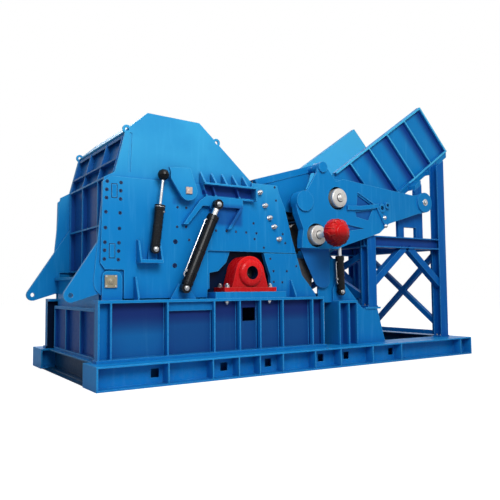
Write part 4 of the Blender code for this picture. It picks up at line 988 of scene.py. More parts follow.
def angles(count: int, phase: float) -> list[float]:
    """Evenly spaced angles in radians from a first one in degrees."""
    return [math.radians(360.0 / count * i + phase) for i in range(count)]


def circle(side: Side, centre: Flat, reach: float, radius: float, count: int, phase: float) -> list[Vector]:
    """Evenly spaced points round a line that runs out from the machine's middle.

    Args:
        side: Side of the machine.
        centre: The line's place as (x, z).
        reach: Distance from the middle.
        radius: Radius of the circle.
        count: Number of points.
        phase: Angle of the first one in degrees.

    Returns:
        The points.
    """
    x, z = centre
    turns = angles(count, phase)
    return [at(side, x + radius * math.cos(turn), reach, z + radius * math.sin(turn)) for turn in turns]


def dress(nodes: Nodes, finish: Finish, names: Iterable[str]) -> None:
    """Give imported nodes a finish.

    Args:
        nodes: The frame's nodes.
        finish: The finish.
        names: Names of the nodes.
    """
    made = PALETTE.get(finish)
    for name in names:
        node = nodes[name]
        if not node.material_slots:
            node.data.materials.append(made)
        for slot in node.material_slots:
            slot.link = "OBJECT"
            slot.material = made
        LOG.info("%s: %s", name, finish.name)


def both(*names: str) -> list[str]:
    """Front and rear names of mirrored nodes."""
    return [f"{name}_{side.label}" for name in names for side in Side]


# Sub-assemblies


@dataclass
class Skid:
    """Box beams, cross beams and belly plate.

    Attributes:
        half_length: Half the beams' length.
        half_width: Half the width over the beams.
        height: Height of the beams.
        web: Distance of the outer web from the middle.
        flange: Thickness of the flanges.
        bead: Distance of a weld from its stiffener's middle.
        margin: How far the beads end short of the flange's edge.
        stiffeners: Distances of the stiffeners from the left end.
        body: The body that it moves with.
    """

    half_length: float = 4.63
    half_width: float = 2.095
    height: float = 0.40
    web: float = 1.875
    flange: float = 0.030
    bead: float = 0.011
    margin: float = 0.02
    stiffeners: tuple[float, ...] = (1.24, 2.094, 2.631, 3.088, 3.614, 4.407, 5.074, 5.973, 6.839, 8.867)
    body: str = "frame"

    def finish(self) -> Enamel:
        """Blue enamel in a paler copy of the blue for painted light, with near-black painted shade inside the
        skid.

        Returns:
            The finish.
        """
        inside = Zone(y=(-FAR, 1.36), z=(-FAR, 0.36), depth=0.85)
        return replace(blue("skid_blue", (inside,)), colour=SKID_BLUE_LIT, deep=SKID_DEEP_LIT)

    def build(self, nodes: Nodes) -> None:
        """Dress the nodes and run the weld beads.

        Args:
            nodes: The frame's nodes.
        """
        dress(nodes, self.finish(), both("base_beam") + ["cross_frame"])
        for side in Side:
            forge = Forge()
            for distance in self.stiffeners:
                for step in (-self.bead, self.bead):
                    x = distance - self.half_length + step
                    foot = at(side, x, self.web, self.flange)
                    forge.weld(foot, at(side, x, self.web, self.height - self.flange))
                    forge.weld(foot, at(side, x, self.half_width - self.margin, self.flange))
            forge.build(f"skid_welds_{side.label}", TRIM, self.body, Slot.BLUE)


@dataclass
class Pedestal:
    """Ribbed side walls, end walls, bearings with their bolts and the hinge keepers.

    Attributes:
        top: Height of the pedestal.
        front: Distance of the ribs' outer edges from the middle; the beads end margin short of it.
        wall: Distance of the wall's outer face.
        floor: Height of the wall's foot.
        plate: Thickness of the top plate.
        rib: Thickness of a rib.
        ribs: Places of the ribs along X.
        hinge: Hinge pin as (x, z), with keeper the outer face of its plate.
        keeper_screw: Distance of the plate's corner screws from its middle.
        rotor: Rotor shaft as (x, z).
        boss_face: Outer face of the bearing's boss.
        bore: Radius of the bearing's bore, which is painted near-black for its shade up to bore_floor.
        screw_circle: Radius of the circle of cap screws.
        pad_top: Upper face of the bearing's foot.
        bolt_x: Places of the holding-down bolts along X, and bolt_y out from the middle.
        under_bolts: Places of the bolt heads under the top plate.
        body: The body that it moves with.
    """

    top: float = 1.43
    front: float = 1.694
    margin: float = 0.01
    wall: float = 1.554
    floor: float = 0.45
    plate: float = 0.05
    rib: float = 0.03
    ribs: tuple[float, ...] = (-4.255, -3.221, -2.279, -1.723, -1.255, -0.713, 0.045)
    hinge: Flat = (-4.18, 1.75)
    keeper: float = 1.4743
    keeper_screw: float = 0.0835
    rotor: Flat = (-1.455, 1.915)
    boss_face: float = 1.724
    bore: float = 0.14
    bore_floor: float = 1.712
    screw_circle: float = 0.178
    pad_top: float = 1.6353
    bolt_x: Flat = (-1.955, -0.965)
    bolt_y: Flat = (1.60, 1.335)
    under_bolts: tuple[Flat, ...] = ((-1.965, 1.61), (-2.019, 1.45), (-0.990, 1.61), (-1.026, 1.45))
    body: str = "frame"

    def finish(self) -> Enamel:
        """Blue enamel, with near-black painted shade behind the housing plates and inside the pedestal, and
        painted shade in the cells between its ribs.

        Returns:
            The finish.
        """
        casing = Zone(y=(-FAR, 1.262), z=(1.44, FAR), soft=0.004)
        behind = Zone(y=(-FAR, 1.52), z=(-FAR, 1.37), soft=0.006)
        left, second = self.ribs[:2]
        back, level, ledge = (-FAR, 1.60), (0.46, 1.375), (1.20, 1.375)
        first = Zone(x=(left, FAR), y=back, z=level, soft=0.02, depth=0.45)
        cells = Zone(x=(second, FAR), y=back, z=level, soft=0.02, depth=0.70)
        under = Zone(x=(left, FAR), y=back, z=ledge, soft=0.02, depth=0.93, fade=0.75)
        return replace(blue("pedestal_blue", (casing, behind), (first, cells, under)), shade=CELL_SHADE)

    def build(self, nodes: Nodes) -> None:
        """Dress the nodes and add bolts, keepers and welds.

        Args:
            nodes: The frame's nodes.
        """
        dress(nodes, self.finish(), both("pedestal", "casing_lower"))
        # Painted shade in the cells of the end walls and of the boxes.
        cells = Zone(x=(-4.36, FAR), z=(0.46, 1.24), soft=0.05, depth=0.78)
        dress(nodes, blue("end_blue", (), (cells,)), ["pedestal_end", "pedestal_back"])
        boxed = Zone(x=(0.79, 1.28), y=(-FAR, 1.62), z=(0.43, 1.285), soft=0.05, depth=0.5)
        dress(nodes, blue("box_blue", (), (boxed,)), both("right_pedestal"))
        dress(nodes, CAST, ["anvil"])
        dress(nodes, BRONZE, both("hinge_pin"))
        (x, z), r = self.rotor, self.bore
        # Near-black painted shade in the bearing's bore.
        bore = Zone(x=(x - r, x + r), y=(-FAR, self.bore_floor), z=(z - r, z + r), soft=0.004)
        # Painted light and shade: the bearing's red darkens below its middle and pales above.
        lit_and_shaded_reds = {"colour": BEARING_RED_SHADED, "high": BEARING_RED_LIT, "climb": (1.70, 2.20)}
        dress(nodes, replace(RED_PAINT, name="bearing_red", zones=(bore,), **lit_and_shaded_reds), both("bearing"))
        for side in Side:
            self._bearing_bolts(side)
            self._keeper(side)
            self._welds(side)
            self._seal(side)

    def _bearing_bolts(self, side: Side) -> None:
        """Holding-down nuts on the bearing's foot and bolt heads under the pedestal's top.

        Args:
            side: Side of the machine.
        """
        forge = Forge()
        nut = Fastener(flats=0.046, height=0.042, washer=0.060, plate=0.010, tip=0.026, thread=0.027)
        for x in self.bolt_x:
            for y in self.bolt_y:
                nut.add(forge, at(side, x, y, self.pad_top), UP)
        head = Fastener(flats=0.046, height=0.036, washer=0.056, plate=0.008, tip=0.020, thread=0.022)
        for x, y in self.under_bolts:
            head.add(forge, at(side, x, y, self.top - self.plate), DOWN)
        forge.build(f"bearing_bolts_{side.label}", ZINC, self.body, Slot.STEEL)

    def _seal(self, side: Side) -> None:
        """Small screws in the cap round the bearing's bore.

        Args:
            side: Side of the machine.
        """
        forge = Forge()
        for spot in circle(side, self.rotor, self.boss_face, self.screw_circle, 6, 30.0):
            SocketScrew(radius=0.012, proud=0.002).add(forge, spot, outward(side))
        forge.build(f"bearing_cap_screws_{side.label}", RED_PAINT, self.body, Slot.RED)

    def _keeper(self, side: Side) -> None:
        """Machined steps and corner screws on the hinge pin's keeper plate.

        Args:
            side: Side of the machine.
        """
        x, z = self.hinge
        face = at(side, x, self.keeper, z)
        way = outward(side)
        forge = Forge()
        forge.turn(face - way * SUNK, way, [(0.0, 0.062), (0.009, 0.062), (0.012, 0.058)], 32)
        forge.turn(face, way, [(0.0, 0.040), (0.018, 0.040), (0.022, 0.035)], 32)
        forge.turn(face, way, [(0.0, 0.016), (0.026, 0.016), (0.029, 0.012)], 20)
        forge.build(f"keeper_steps_{side.label}", BRONZE, self.body, Slot.BRONZE)
        forge = Forge()
        screw = Fastener(flats=0.013, height=0.010, washer=0.018, plate=0.003)
        for a in (-self.keeper_screw, self.keeper_screw):
            for b in (-self.keeper_screw, self.keeper_screw):
                screw.add(forge, face + Vector((a, 0.0, b)), way)
        forge.build(f"keeper_screws_{side.label}", STEEL, self.body, Slot.STEEL)

    def _welds(self, side: Side) -> None:
        """Beads down the ribs and along the pedestal's foot.

        Args:
            side: Side of the machine.
        """
        forge = Forge()
        under = self.top - self.plate
        for x in self.ribs:
            for step in (-self.rib / 2, self.rib / 2):
                foot = at(side, x + step, self.wall, self.floor)
                forge.weld(foot, at(side, x + step, self.wall, under))
                forge.weld(foot, at(side, x + step, self.front - self.margin, self.floor))
        forge.build(f"pedestal_welds_{side.label}", TRIM, self.body, Slot.BLUE)


@dataclass
class Housing:
    """Tilting hood: plates with their bolts, inspection covers, edge studs and bracket welds.

    Attributes:
        plate: Outer face of the side plates.
        columns: Screws down both edges of the bolted-on plate.
        covers: Lower left and upper right corners of the inspection covers.
        seam: Width of the dark seam round a cover.
        screws: Screws of the wear plates.
        lower_screws: Screws of the casing's fixed lower part.
        holes: Large screw plugs.
        studs: Adjusting studs.
        bracket: Ends of the gate cylinder's bracket.
        bracket_top: Height of its shelf, and bracket_edge the shelf's outer edge.
        gussets: Number of its gussets, each gusset thick.
        last_gusset: Distance of the last gusset from the bracket's end.
        body: The body that it moves with.
    """

    plate: float = 1.444
    columns: tuple[Flat, ...] = (
        (-4.252, 3.476), (-4.259, 3.333), (-4.264, 3.189), (-4.273, 2.943),
        (-4.279, 2.670), (-4.286, 2.420), (-4.290, 2.282), (-4.294, 2.133),
        (-4.005, 3.474), (-4.010, 3.329), (-4.012, 3.184), (-4.019, 2.940),
        (-4.029, 2.668), (-4.036, 2.418), (-4.040, 2.275), (-4.045, 2.127),
    )
    covers: tuple[tuple[Flat, Flat], ...] = (
        ((-4.180, 3.196), (-4.070, 3.449)), ((-4.214, 2.148), (-4.103, 2.403)),
    )
    seam: float = 0.011
    screws: tuple[Flat, ...] = (
        (-2.918, 3.116), (-2.924, 2.753), (-2.737, 3.117), (-2.740, 2.760), (-2.677, 2.520),
        (-2.102, 2.721), (-1.868, 2.724), (-1.653, 2.721), (-1.415, 2.718), (-1.171, 2.712),
        (-1.239, 2.909), (-1.216, 2.597), (-0.996, 2.429),
        (-0.518, 2.725), (-0.457, 2.541), (-0.681, 3.409), (-0.712, 3.680),
    )
    lower_screws: tuple[Flat, ...] = (
        (-0.836, 2.209), (-0.763, 1.960), (-0.424, 1.961), (-0.178, 2.070), (-0.759, 1.741), (-0.544, 1.735),
    )
    holes: tuple[Flat, ...] = ((-2.960, 2.478), (-2.973, 2.040))
    studs: tuple[Flat, ...] = (
        (-1.092, 3.538), (-0.966, 3.280), (-0.856, 3.039), (-0.745, 2.861), (-0.626, 2.616),
    )
    bracket: Flat = (-2.45, -1.27)
    bracket_top: float = 3.5975
    bracket_edge: float = 1.64
    gussets: int = 5
    gusset: float = 0.035
    last_gusset: float = 0.24
    body: str = "housing"

    def finish(self) -> Enamel:
        """Blue enamel, with near-black painted shade inside the hood, painted shade under the gate cylinder's
        bracket and by the lever, and painted light towards the top.

        Returns:
            The finish.
        """
        inside = Zone(x=(-3.93, FAR), y=(-FAR, 1.345), z=(-FAR, 3.60), soft=0.03)
        arch = Zone(x=(-2.20, -1.56), y=(1.42, 1.60), z=(2.88, 3.17), soft=0.10, depth=0.60)
        crown = Zone(x=(-2.40, -1.31), y=(1.42, 1.60), z=(3.40, 3.565), soft=0.01, depth=0.85)
        lever = Zone(x=(-2.98, -2.70), y=(1.42, 1.47), z=(3.20, 3.26), soft=0.07, depth=0.35)
        return blue("housing_blue", (inside,), (arch, crown, lever), high=BLUE_LIT_TOP)

    def build(self, nodes: Nodes) -> None:
        """Dress the nodes and add the fasteners.

        Args:
            nodes: The frame's nodes.
        """
        dress(nodes, self.finish(), both("housing_side", "housing_bracket") + ["hood_roof"])
        # Painted shade in the hood end's cells, stronger below.
        cells = Zone(x=(-4.06, FAR), z=(-FAR, 3.62), soft=0.05, depth=0.72)
        upper = Zone(x=(-4.06, FAR), z=(3.62, FAR), soft=0.05, depth=0.45)
        dress(nodes, blue("hood_end_blue", (), (cells, upper)), ["hood_end"])
        for side in Side:
            self._screws(side)
            self._covers(side)
            self._studs(side)
            self._welds(side)

    def _screws(self, side: Side) -> None:
        """Socket screws of the bolted-on plate and of the wear plates behind it.

        Args:
            side: Side of the machine.
        """
        way = outward(side)
        for name, body, places, screw in (
            ("plate_bolts", self.body, self.columns, SocketScrew(radius=0.032)),
            ("liner_bolts", self.body, self.screws, SocketScrew(radius=0.025)),
            ("plug_bolts", self.body, self.holes, SocketScrew(radius=0.046)),
            ("casing_bolts", "frame", self.lower_screws, SocketScrew(radius=0.025)),
        ):
            forge = Forge()
            for x, z in places:
                screw.add(forge, at(side, x, self.plate, z), way)
            forge.build(f"{name}_{side.label}", SOCKET, body, Slot.DARK)

    def _covers(self, side: Side) -> None:
        """Two small cover plates, each in a dark seam.

        Args:
            side: Side of the machine.
        """
        seams, plates = Forge(), Forge()
        for low, high in self.covers:
            outline = [low, (high[0], low[1]), high, (low[0], high[1])]
            seams.slab(outline, side.value * (self.plate - SUNK), side.value * (self.plate + 0.002))
            left, right, bottom, top = (
                low[0] + self.seam, high[0] - self.seam, low[1] + self.seam, high[1] - self.seam,
            )
            inner = [(left, bottom), (right, bottom), (right, top), (left, top)]
            plates.slab(inner, side.value * self.plate, side.value * (self.plate + 0.005), 0.002)
        seams.build(f"cover_seams_{side.label}", SOCKET, self.body, Slot.DARK)
        plates.build(f"cover_plates_{side.label}", TRIM, self.body, Slot.BLUE)

    def _studs(self, side: Side) -> None:
        """Five long adjusting studs down the right edge: a nut on the plate and one near the tip.

        Args:
            side: Side of the machine.
        """
        forge = Forge()
        way = outward(side)
        near = Fastener(flats=0.030, height=0.022, washer=0.044, plate=0.008)
        for x, z in self.studs:
            foot = at(side, x - 0.01, self.plate, z)
            near.add(forge, foot, way)
            forge.turn(foot, way, [(0.0, 0.019), (0.118, 0.019), (0.124, 0.013)], 16)
            forge.turn(foot + way * 0.062, way, [(0.0, 0.046), (0.007, 0.046), (0.009, 0.042)], 20)
            forge.turn(foot + way * 0.071, way, [(0.0, 0.034), (0.026, 0.034), (0.031, 0.028)], 6, 10.0)
        forge.build(f"edge_studs_{side.label}", ZINC, self.body, Slot.STEEL)

    def _welds(self, side: Side) -> None:
        """Beads along the bracket's shelf and gussets.

        Args:
            side: Side of the machine.
        """
        forge = Forge()
        left, right = self.bracket
        forge.weld(at(side, left, self.plate, self.bracket_top), at(side, right, self.plate, self.bracket_top))
        pitch = (right - self.last_gusset - left) / (self.gussets - 1)
        for i in range(self.gussets):
            for step in (0.0, self.gusset):
                x = left + pitch * i + step
                near = at(side, x, self.plate + 0.012, self.bracket_top)
                forge.weld(near, at(side, x, self.bracket_edge, self.bracket_top), 0.008)
        forge.build(f"bracket_welds_{side.label}", TRIM, self.body, Slot.BLUE)


@dataclass
class RotorLine:
    """Shaft with discs and hammers.

    Attributes:
        body: The body that it moves with.
        centre: The shaft as (x, z).
        end: Distance of the shaft's ends from the middle.
    """

    body: str = "rotor_line"
    centre: Flat = (-1.455, 1.915)
    end: float = 1.50

    def build(self, nodes: Nodes) -> None:
        """Dress the rotor and cap its shaft ends.

        Args:
            nodes: The frame's nodes.
        """
        # Near-black steel: the rotor's own dark steel, darkened further as painted shade of the closed casing.
        finish = Metal("rotor_steel", (0.030, 0.030, 0.034, 1.0), (0.012, 0.010, 0.009, 1.0), 0.5, 0.8)
        dress(nodes, finish, ["rotor"])
        x, z = self.centre
        for side in Side:
            forge = Forge()
            way = outward(side)
            face = at(side, x, self.end, z)
            forge.turn(face, way, [(-SUNK, 0.100), (0.006, 0.100), (0.009, 0.096)], 32)
            for spot in circle(side, self.centre, self.end + 0.008, 0.062, 3, 90.0):
                Fastener(flats=0.014, height=0.010, washer=0.018, plate=0.003).add(forge, spot, way)
            forge.build(f"shaft_cap_{side.label}", finish, self.body, Slot.DARK)


@dataclass
class RejectGate:
    """Lever plates with the square ends of the gate's shaft.

    Attributes:
        centre: The shaft as (x, z).
        half: Half the square's side.
        face: Outer face of the square ends.
        lever: Outer face of the lever plates.
        body: The body that it moves with.
    """

    centre: Flat = (-2.78, 3.41)
    half: float = 0.0625
    face: float = 1.66
    lever: float = 1.63
    body: str = "reject_gate"

    def build(self, nodes: Nodes) -> None:
        """Dress the gate and cap its square ends.

        Args:
            nodes: The frame's nodes.
        """
        # Near-black painted shade on the gate's inner parts, and painted light towards the top.
        inside = Zone(y=(-FAR, 1.40), soft=0.01)
        dress(nodes, blue("gate_blue", (inside,), high=BLUE_LIT_TOP), ["gate"])
        x, z = self.centre
        for side in Side:
            forge = Forge()
            corners = ((-1, -1), (1, -1), (1, 1), (-1, 1))
            outline = [(x + self.half * across, z + self.half * up) for across, up in corners]
            forge.slab(outline, side.value * self.lever, side.value * (self.face + 0.004), 0.006)
            dimple = [(0.0, 0.030), (0.004, 0.030), (0.005, 0.026)]
            forge.turn(at(side, x, self.face + 0.002, z), outward(side), dimple)
            forge.build(f"gate_square_{side.label}", BLUSH, self.body, Slot.STEEL)


@dataclass
class Cylinder:
    """Dressing of one pair of hydraulic cylinders: rod chrome, gland, pipe, ports, clamps and pin nuts.

    Attributes:
        name: Name of the pair.
        eye: Lower pin as (x, z).
        head: Upper pin at rest.
        middle: Distance of the cylinder from the machine's middle.
        radius: Radius of the barrel.
        length: Length of the barrel from the lower pin.
        eye_radius: Radius of the eyes.
        pin: Radius of the pins.
        rod_reach: Distance from the upper pin where the bare rod starts.
        rod: Radius of the rod.
        pipe: Radius of the oil pipe, 0 for a cylinder with a single port.
        collar: How far the gland stands out from the barrel.
        ball: Whether the rod ends in a ball, with no gland and no upper nut.
    """

    name: str
    eye: Flat
    head: Flat
    middle: float
    radius: float
    length: float
    eye_radius: float
    pin: float
    rod_reach: float
    rod: float
    pipe: float = 0.0
    collar: float = 0.012
    ball: bool = False

    @property
    def way(self) -> Vector:
        """Direction from the lower eye to the upper one."""
        return Vector((self.head[0] - self.eye[0], 0.0, self.head[1] - self.eye[1])).normalized()

    @property
    def across(self) -> Vector:
        """Direction square to the cylinder, towards the machine's left end."""
        return Vector((-self.way.z, 0.0, self.way.x))

    def spot(self, side: Side, along: float, across: float = 0.0, out: float = 0.0) -> Vector:
        """Point on the cylinder.

        Args:
            side: Side of the machine.
            along: Distance from the lower eye.
            across: Distance to the left.
            out: Distance outwards.

        Returns:
            The point.
        """
        eye = at(side, self.eye[0], self.middle + out, self.eye[1])
        return eye + self.way * along + self.across * across

    def build(self, nodes: Nodes) -> None:
        """Dress the barrels and rods and add the fittings.

        Args:
            nodes: The frame's nodes.
        """
        dress(nodes, GlossBlack("cylinder_black"), both(f"{self.name}_barrel"))
        for side in Side:
            head = (self.head[0], side.value * self.middle, self.head[1])
            foot = (self.eye[0], side.value * self.middle, self.eye[1])
            finish = GlossBlack(f"{self.name}_rod_finish", head, foot, self.rod_reach)
            dress(nodes, finish, [f"{self.name}_rod_{side.label}"])
            self._fittings(side)
            self._nuts(side)

    def _fittings(self, side: Side) -> None:
        """Gland ring, end bands, port blocks and the oil pipe down the left side.

        Args:
            side: Side of the machine.
        """
        black, bright = Forge(), Forge()
        outer, r = self.radius + self.collar, self.radius
        if not self.ball:
            lip = [(-0.006, outer - 0.012), (0.014, outer - 0.014), (0.018, outer - 0.022)]
            gland = lip + [(0.018, self.rod + 0.008), (-0.006, self.rod + 0.008)]
            black.ring(self.spot(side, self.length + 0.02), self.way, gland)
        band = [(0.0, r - 0.004), (0.0, r + 0.001), (0.002, r + 0.005)]
        band += [(0.024, r + 0.005), (0.026, r + 0.001), (0.026, r - 0.004)]
        for along in (self.eye_radius * 0.6 + 0.03, self.length * 0.5):
            black.ring(self.spot(side, along), self.way, band)
        body = f"{self.name}_barrels"
        black.build(f"{self.name}_bands_{side.label}", GlossBlack("cylinder_black"), body, Slot.BLACK)
        if self.pipe:
            self._oil_pipe(bright, side)
        else:
            port = [(r - 0.01, 0.022), (r + 0.014, 0.022), (r + 0.016, 0.014), (r + 0.028, 0.012)]
            slant = outward(side) * 0.8 + self.across * -0.6
            bright.turn(self.spot(side, self.length - 0.10), slant, port, 6)
            wiper = [(0.0, outer - 0.006), (0.0, outer - 0.001), (0.002, outer + 0.002)]
            wiper += [(0.008, outer + 0.002), (0.010, outer - 0.001), (0.010, outer - 0.006)]
            bright.ring(self.spot(side, self.length - 0.02), self.way, wiper)
        bright.build(f"{self.name}_pipe_{side.label}", ZINC, body, Slot.STEEL)

    def _oil_pipe(self, forge: Forge, side: Side) -> None:
        """Oil pipe with its two unions and its clamp.

        Args:
            forge: The mesh that takes it.
            side: Side of the machine.
        """
        reach = self.radius + 0.5 * self.pipe
        low, high = self.eye_radius + 0.10, self.length - 0.09
        inside, bend, line = self.radius * 0.6, reach + 0.012, reach + 0.016
        steps = [(high, inside), (high, reach * 0.95), (high - 0.012, bend), (high - 0.035, line)]
        steps += [(low + 0.035, line), (low + 0.012, bend), (low, reach * 0.95), (low, inside)]
        forge.tube([self.spot(side, along, out) for along, out in steps], self.pipe, 10)
        union = [(0.0, self.pipe * 1.9), (0.018, self.pipe * 1.9), (0.020, self.pipe * 1.6)]
        for along in (high, low):
            forge.turn(self.spot(side, along, self.radius - 0.01), self.across, union, 6)
        forge.block(self.spot(side, low + 0.10, reach + 0.004), Vector((0.058, 0.050, 0.050)))

    def _nuts(self, side: Side) -> None:
        """Nuts on the outer ends of the two eye pins.

        Args:
            side: Side of the machine.
        """
        way = outward(side)
        nut = Fastener(self.pin * 1.05, 0.020, self.pin * 1.35, 0.006, tip=0.010, thread=self.pin * 0.62)
        forge = Forge()
        nut.add(forge, self.spot(side, 0.0, 0.0, self.eye_radius * 0.55 + 0.012), way)
        forge.build(f"{self.name}_lower_nut_{side.label}", ZINC, f"{self.name}_barrels", Slot.STEEL)
        if self.ball:
            return
        forge = Forge()
        reach = math.dist(self.eye, self.head)
        nut.add(forge, self.spot(side, reach, 0.0, self.eye_radius * 0.55 + 0.008), way)
        forge.build(f"{self.name}_upper_nut_{side.label}", ZINC, f"{self.name}_rods", Slot.STEEL)


@dataclass
class FeedArm:
    """Arm plates, throat cover, motors and the fasteners on them.

    Attributes:
        face: Outer face of the arm plates.
        boss: Outer face of the pivot's boss.
        pivot: The arm's pivot as (x, z).
        link_bolts: Bolts of the cylinder's ear; link_plate is that ear's thickness.
        lower: Middle of the lower roller.
        upper: Middle of the upper roller.
        pockets: Limits along X and Z of the recesses between the stiffeners, where shade gathers.
        eyes: The two bores behind the rollers, each with the half width of its ring of painted shade.
        roller_ring: Half width of the ring of painted shade round a roller.
        motor_inner: Inner face of a motor.
        motor_outer: Outer face of a motor.
        motor_radius: Radius of a motor.
        profile: Course of a motor's ribs, in shares of its depth and radius.
        body: The body that it moves with.
    """

    face: float = 1.694
    boss: float = 1.744
    pivot: Flat = (3.52, 3.644)
    link_bolts: tuple[Flat, ...] = ((2.145, 3.195), (2.180, 3.005))
    link_plate: float = 0.045
    pockets: tuple[tuple[Flat, Flat], ...] = (
        ((1.30, 1.80), (3.38, 3.70)), ((1.27, 1.82), (3.09, 3.37)), ((0.96, 1.55), (2.81, 3.01)),
    )
    eyes: tuple[tuple[Flat, float], ...] = (((2.070, 3.410), 0.052), ((2.246, 3.480), 0.041))
    roller_ring: float = 0.25
    lower: Flat = (0.174, 2.713)
    upper: Flat = (0.765, 3.535)
    motor_inner: float = 2.16
    motor_outer: float = 2.52
    motor_radius: float = 0.275
    profile: tuple[Flat, ...] = (
        (0.06, 0.78), (0.16, 0.93), (0.34, 0.98), (0.58, 0.97), (0.76, 0.88), (0.90, 0.68),
    )
    body: str = "feed_arm"

    def finish(self) -> Enamel:
        """Blue enamel, with near-black painted shade inside the arm box and round the rollers and bores, and
        painted shade under the throat cover and in the pockets.

        Returns:
            The finish.
        """
        inside = Zone(y=(-FAR, 1.50), z=(-FAR, 3.72), soft=0.01, depth=0.9)
        shield = Zone(x=(-0.16, FAR), y=(-FAR, 1.53), z=(-FAR, 2.42), soft=0.02, depth=0.45)
        pockets = tuple(Zone(x=x, y=(1.60, 1.664), z=z, soft=0.004, depth=0.55) for x, z in self.pockets)
        rollers = tuple((centre, self.roller_ring, 1.688) for centre in (self.lower, self.upper))
        rings = tuple(
            Zone(x=(x - reach, x + reach), y=(1.50, level), z=(z - reach, z + reach), soft=0.003, depth=0.9)
            for (x, z), reach, level in rollers + tuple((*eye, 1.709) for eye in self.eyes)
        )
        return blue("arm_blue", (inside,) + rings, (shield,) + pockets)

    def build(self, nodes: Nodes) -> None:
        """Dress the nodes and add bolts and motor caps.

        Args:
            nodes: The frame's nodes.
        """
        dress(nodes, self.finish(), both("arm_side"))
        dress(nodes, TRIM, ["arm_cover"])
        dress(nodes, MOTOR_RED, ["motor_lower", "motor_upper"])
        for side in Side:
            forge = Forge()
            way = outward(side)
            bolt = Fastener(flats=0.034, height=0.026, washer=0.044, plate=0.008, tip=0.012, thread=0.018)
            for x, z in self.link_bolts:
                bolt.add(forge, at(side, x, self.face + self.link_plate, z), way)
            face = at(side, self.pivot[0], self.boss, self.pivot[1])
            forge.turn(face, way, [(-SUNK, 0.082), (0.010, 0.082), (0.013, 0.078)], 32)
            forge.turn(face + way * 0.010, way, [(0.0, 0.056), (0.024, 0.056), (0.028, 0.050)], 4, 0.0)
            forge.turn(face + way * 0.034, way, [(0.0, 0.026), (0.010, 0.026), (0.014, 0.020)], 20)
            forge.build(f"arm_fasteners_{side.label}", ZINC, self.body, Slot.STEEL)
        self._motor("lower", Side.FRONT, self.lower)
        self._motor("upper", Side.REAR, self.upper)

    def _motor(self, name: str, side: Side, centre: Flat) -> None:
        """Ribs, cylinder caps and end cover of one radial piston motor.

        Args:
            name: Name of the motor.
            side: Side of the machine.
            centre: Its middle as (x, z).
        """
        x, z = centre
        forge = Forge()
        depth, radius = self.motor_outer - self.motor_inner, self.motor_radius
        course = [(self.motor_inner + depth * along, radius * out) for along, out in self.profile]
        for angle in angles(10, 18.0):
            ray = Vector((math.cos(angle), 0.0, math.sin(angle)))
            forge.tube([at(side, x, reach, z) + ray * out for reach, out in course], 0.012, 6)
        middle = at(side, x, self.motor_inner + depth * 0.46, z)
        rise = radius * 0.30
        cap = [(0.0, 0.086), (rise - 0.006, 0.086), (rise + 0.004, 0.074), (rise + 0.006, 0.040)]
        for angle in angles(5, 54.0):
            ray = Vector((math.cos(angle), 0.0, math.sin(angle)))
            forge.turn(middle + ray * (radius * 0.70), ray, cap, 24)
        cover = [(0.0, 0.150), (0.026, 0.146), (0.034, 0.136), (0.036, 0.090), (0.041, 0.084), (0.043, 0.074)]
        forge.turn(at(side, x, self.motor_outer - 0.045, z), outward(side), cover, 32)
        forge.build(f"motor_caps_{name}", MOTOR_RED, self.body, Slot.RED)


@dataclass
class Rollers:
    """Feed rollers: cap rings, hub nuts and end bolts.

    Attributes:
        upper: Middle of the upper roller as (x, z).
        lower: Middle of the lower roller.
        cap_face: Outer face of the caps.
        hub_face: Outer face of the hub without a motor.
        cap_radius: Radius of the caps.
    """

    upper: Flat = (0.765, 3.535)
    lower: Flat = (0.174, 2.713)
    cap_face: float = 1.784
    hub_face: float = 1.814
    cap_radius: float = 0.205

    def build(self, nodes: Nodes) -> None:
        """Dress the rollers and add their caps' details.

        Args:
            nodes: The frame's nodes.
        """
        # Near-black painted shade on the drums between the machine's walls.
        drum = Zone(y=(-FAR, 1.45), soft=0.02, depth=0.8)
        clean, stain = (0.70, 0.69, 0.66, 1.0), (0.50, 0.48, 0.43, 1.0)
        finish = Metal("roller_steel", clean, stain, 0.34, 0.55, 90.0, (drum,))
        dress(nodes, finish, ["roller_upper", "roller_lower"])
        for name, centre, drive in (("upper", self.upper, Side.REAR), ("lower", self.lower, Side.FRONT)):
            for side in Side:
                self._cap(name, centre, side, side is drive, finish)

    def _cap(self, name: str, centre: Flat, side: Side, drive: bool, finish: Metal) -> None:
        """Rings and nut of one cap.

        Args:
            name: Name of the roller.
            centre: Its middle as (x, z).
            side: Side of the machine.
            drive: Whether a motor sits on this side, so that the cap has no nut.
            finish: The roller's finish.
        """
        x, z = centre
        way = outward(side)
        face = at(side, x, self.cap_face, z)
        bright, dark = Forge(), Forge()
        edge = self.cap_radius - 0.022
        bright.turn(face, way, [(-SUNK, edge), (0.004, edge), (0.007, edge - 0.008)], 48)
        dark.turn(face, way, [(0.0, 0.094), (0.009, 0.094), (0.011, 0.090)], 40)
        bright.turn(face, way, [(0.0, 0.078), (0.030, 0.078), (0.036, 0.070)], 32)
        if not drive:
            hub = at(side, x, self.hub_face, z)
            bright.turn(hub, way, [(0.0, 0.052), (0.022, 0.052), (0.027, 0.044)], 6)
            bright.turn(hub, way, [(0.0, 0.020), (0.036, 0.020), (0.040, 0.014)], 16)
        body = f"{name}_roller"
        bright.build(f"roller_cap_{name}_{side.label}", finish, body, Slot.STEEL)
        dark.build(f"roller_seal_{name}_{side.label}", CAST, body, Slot.DARK)


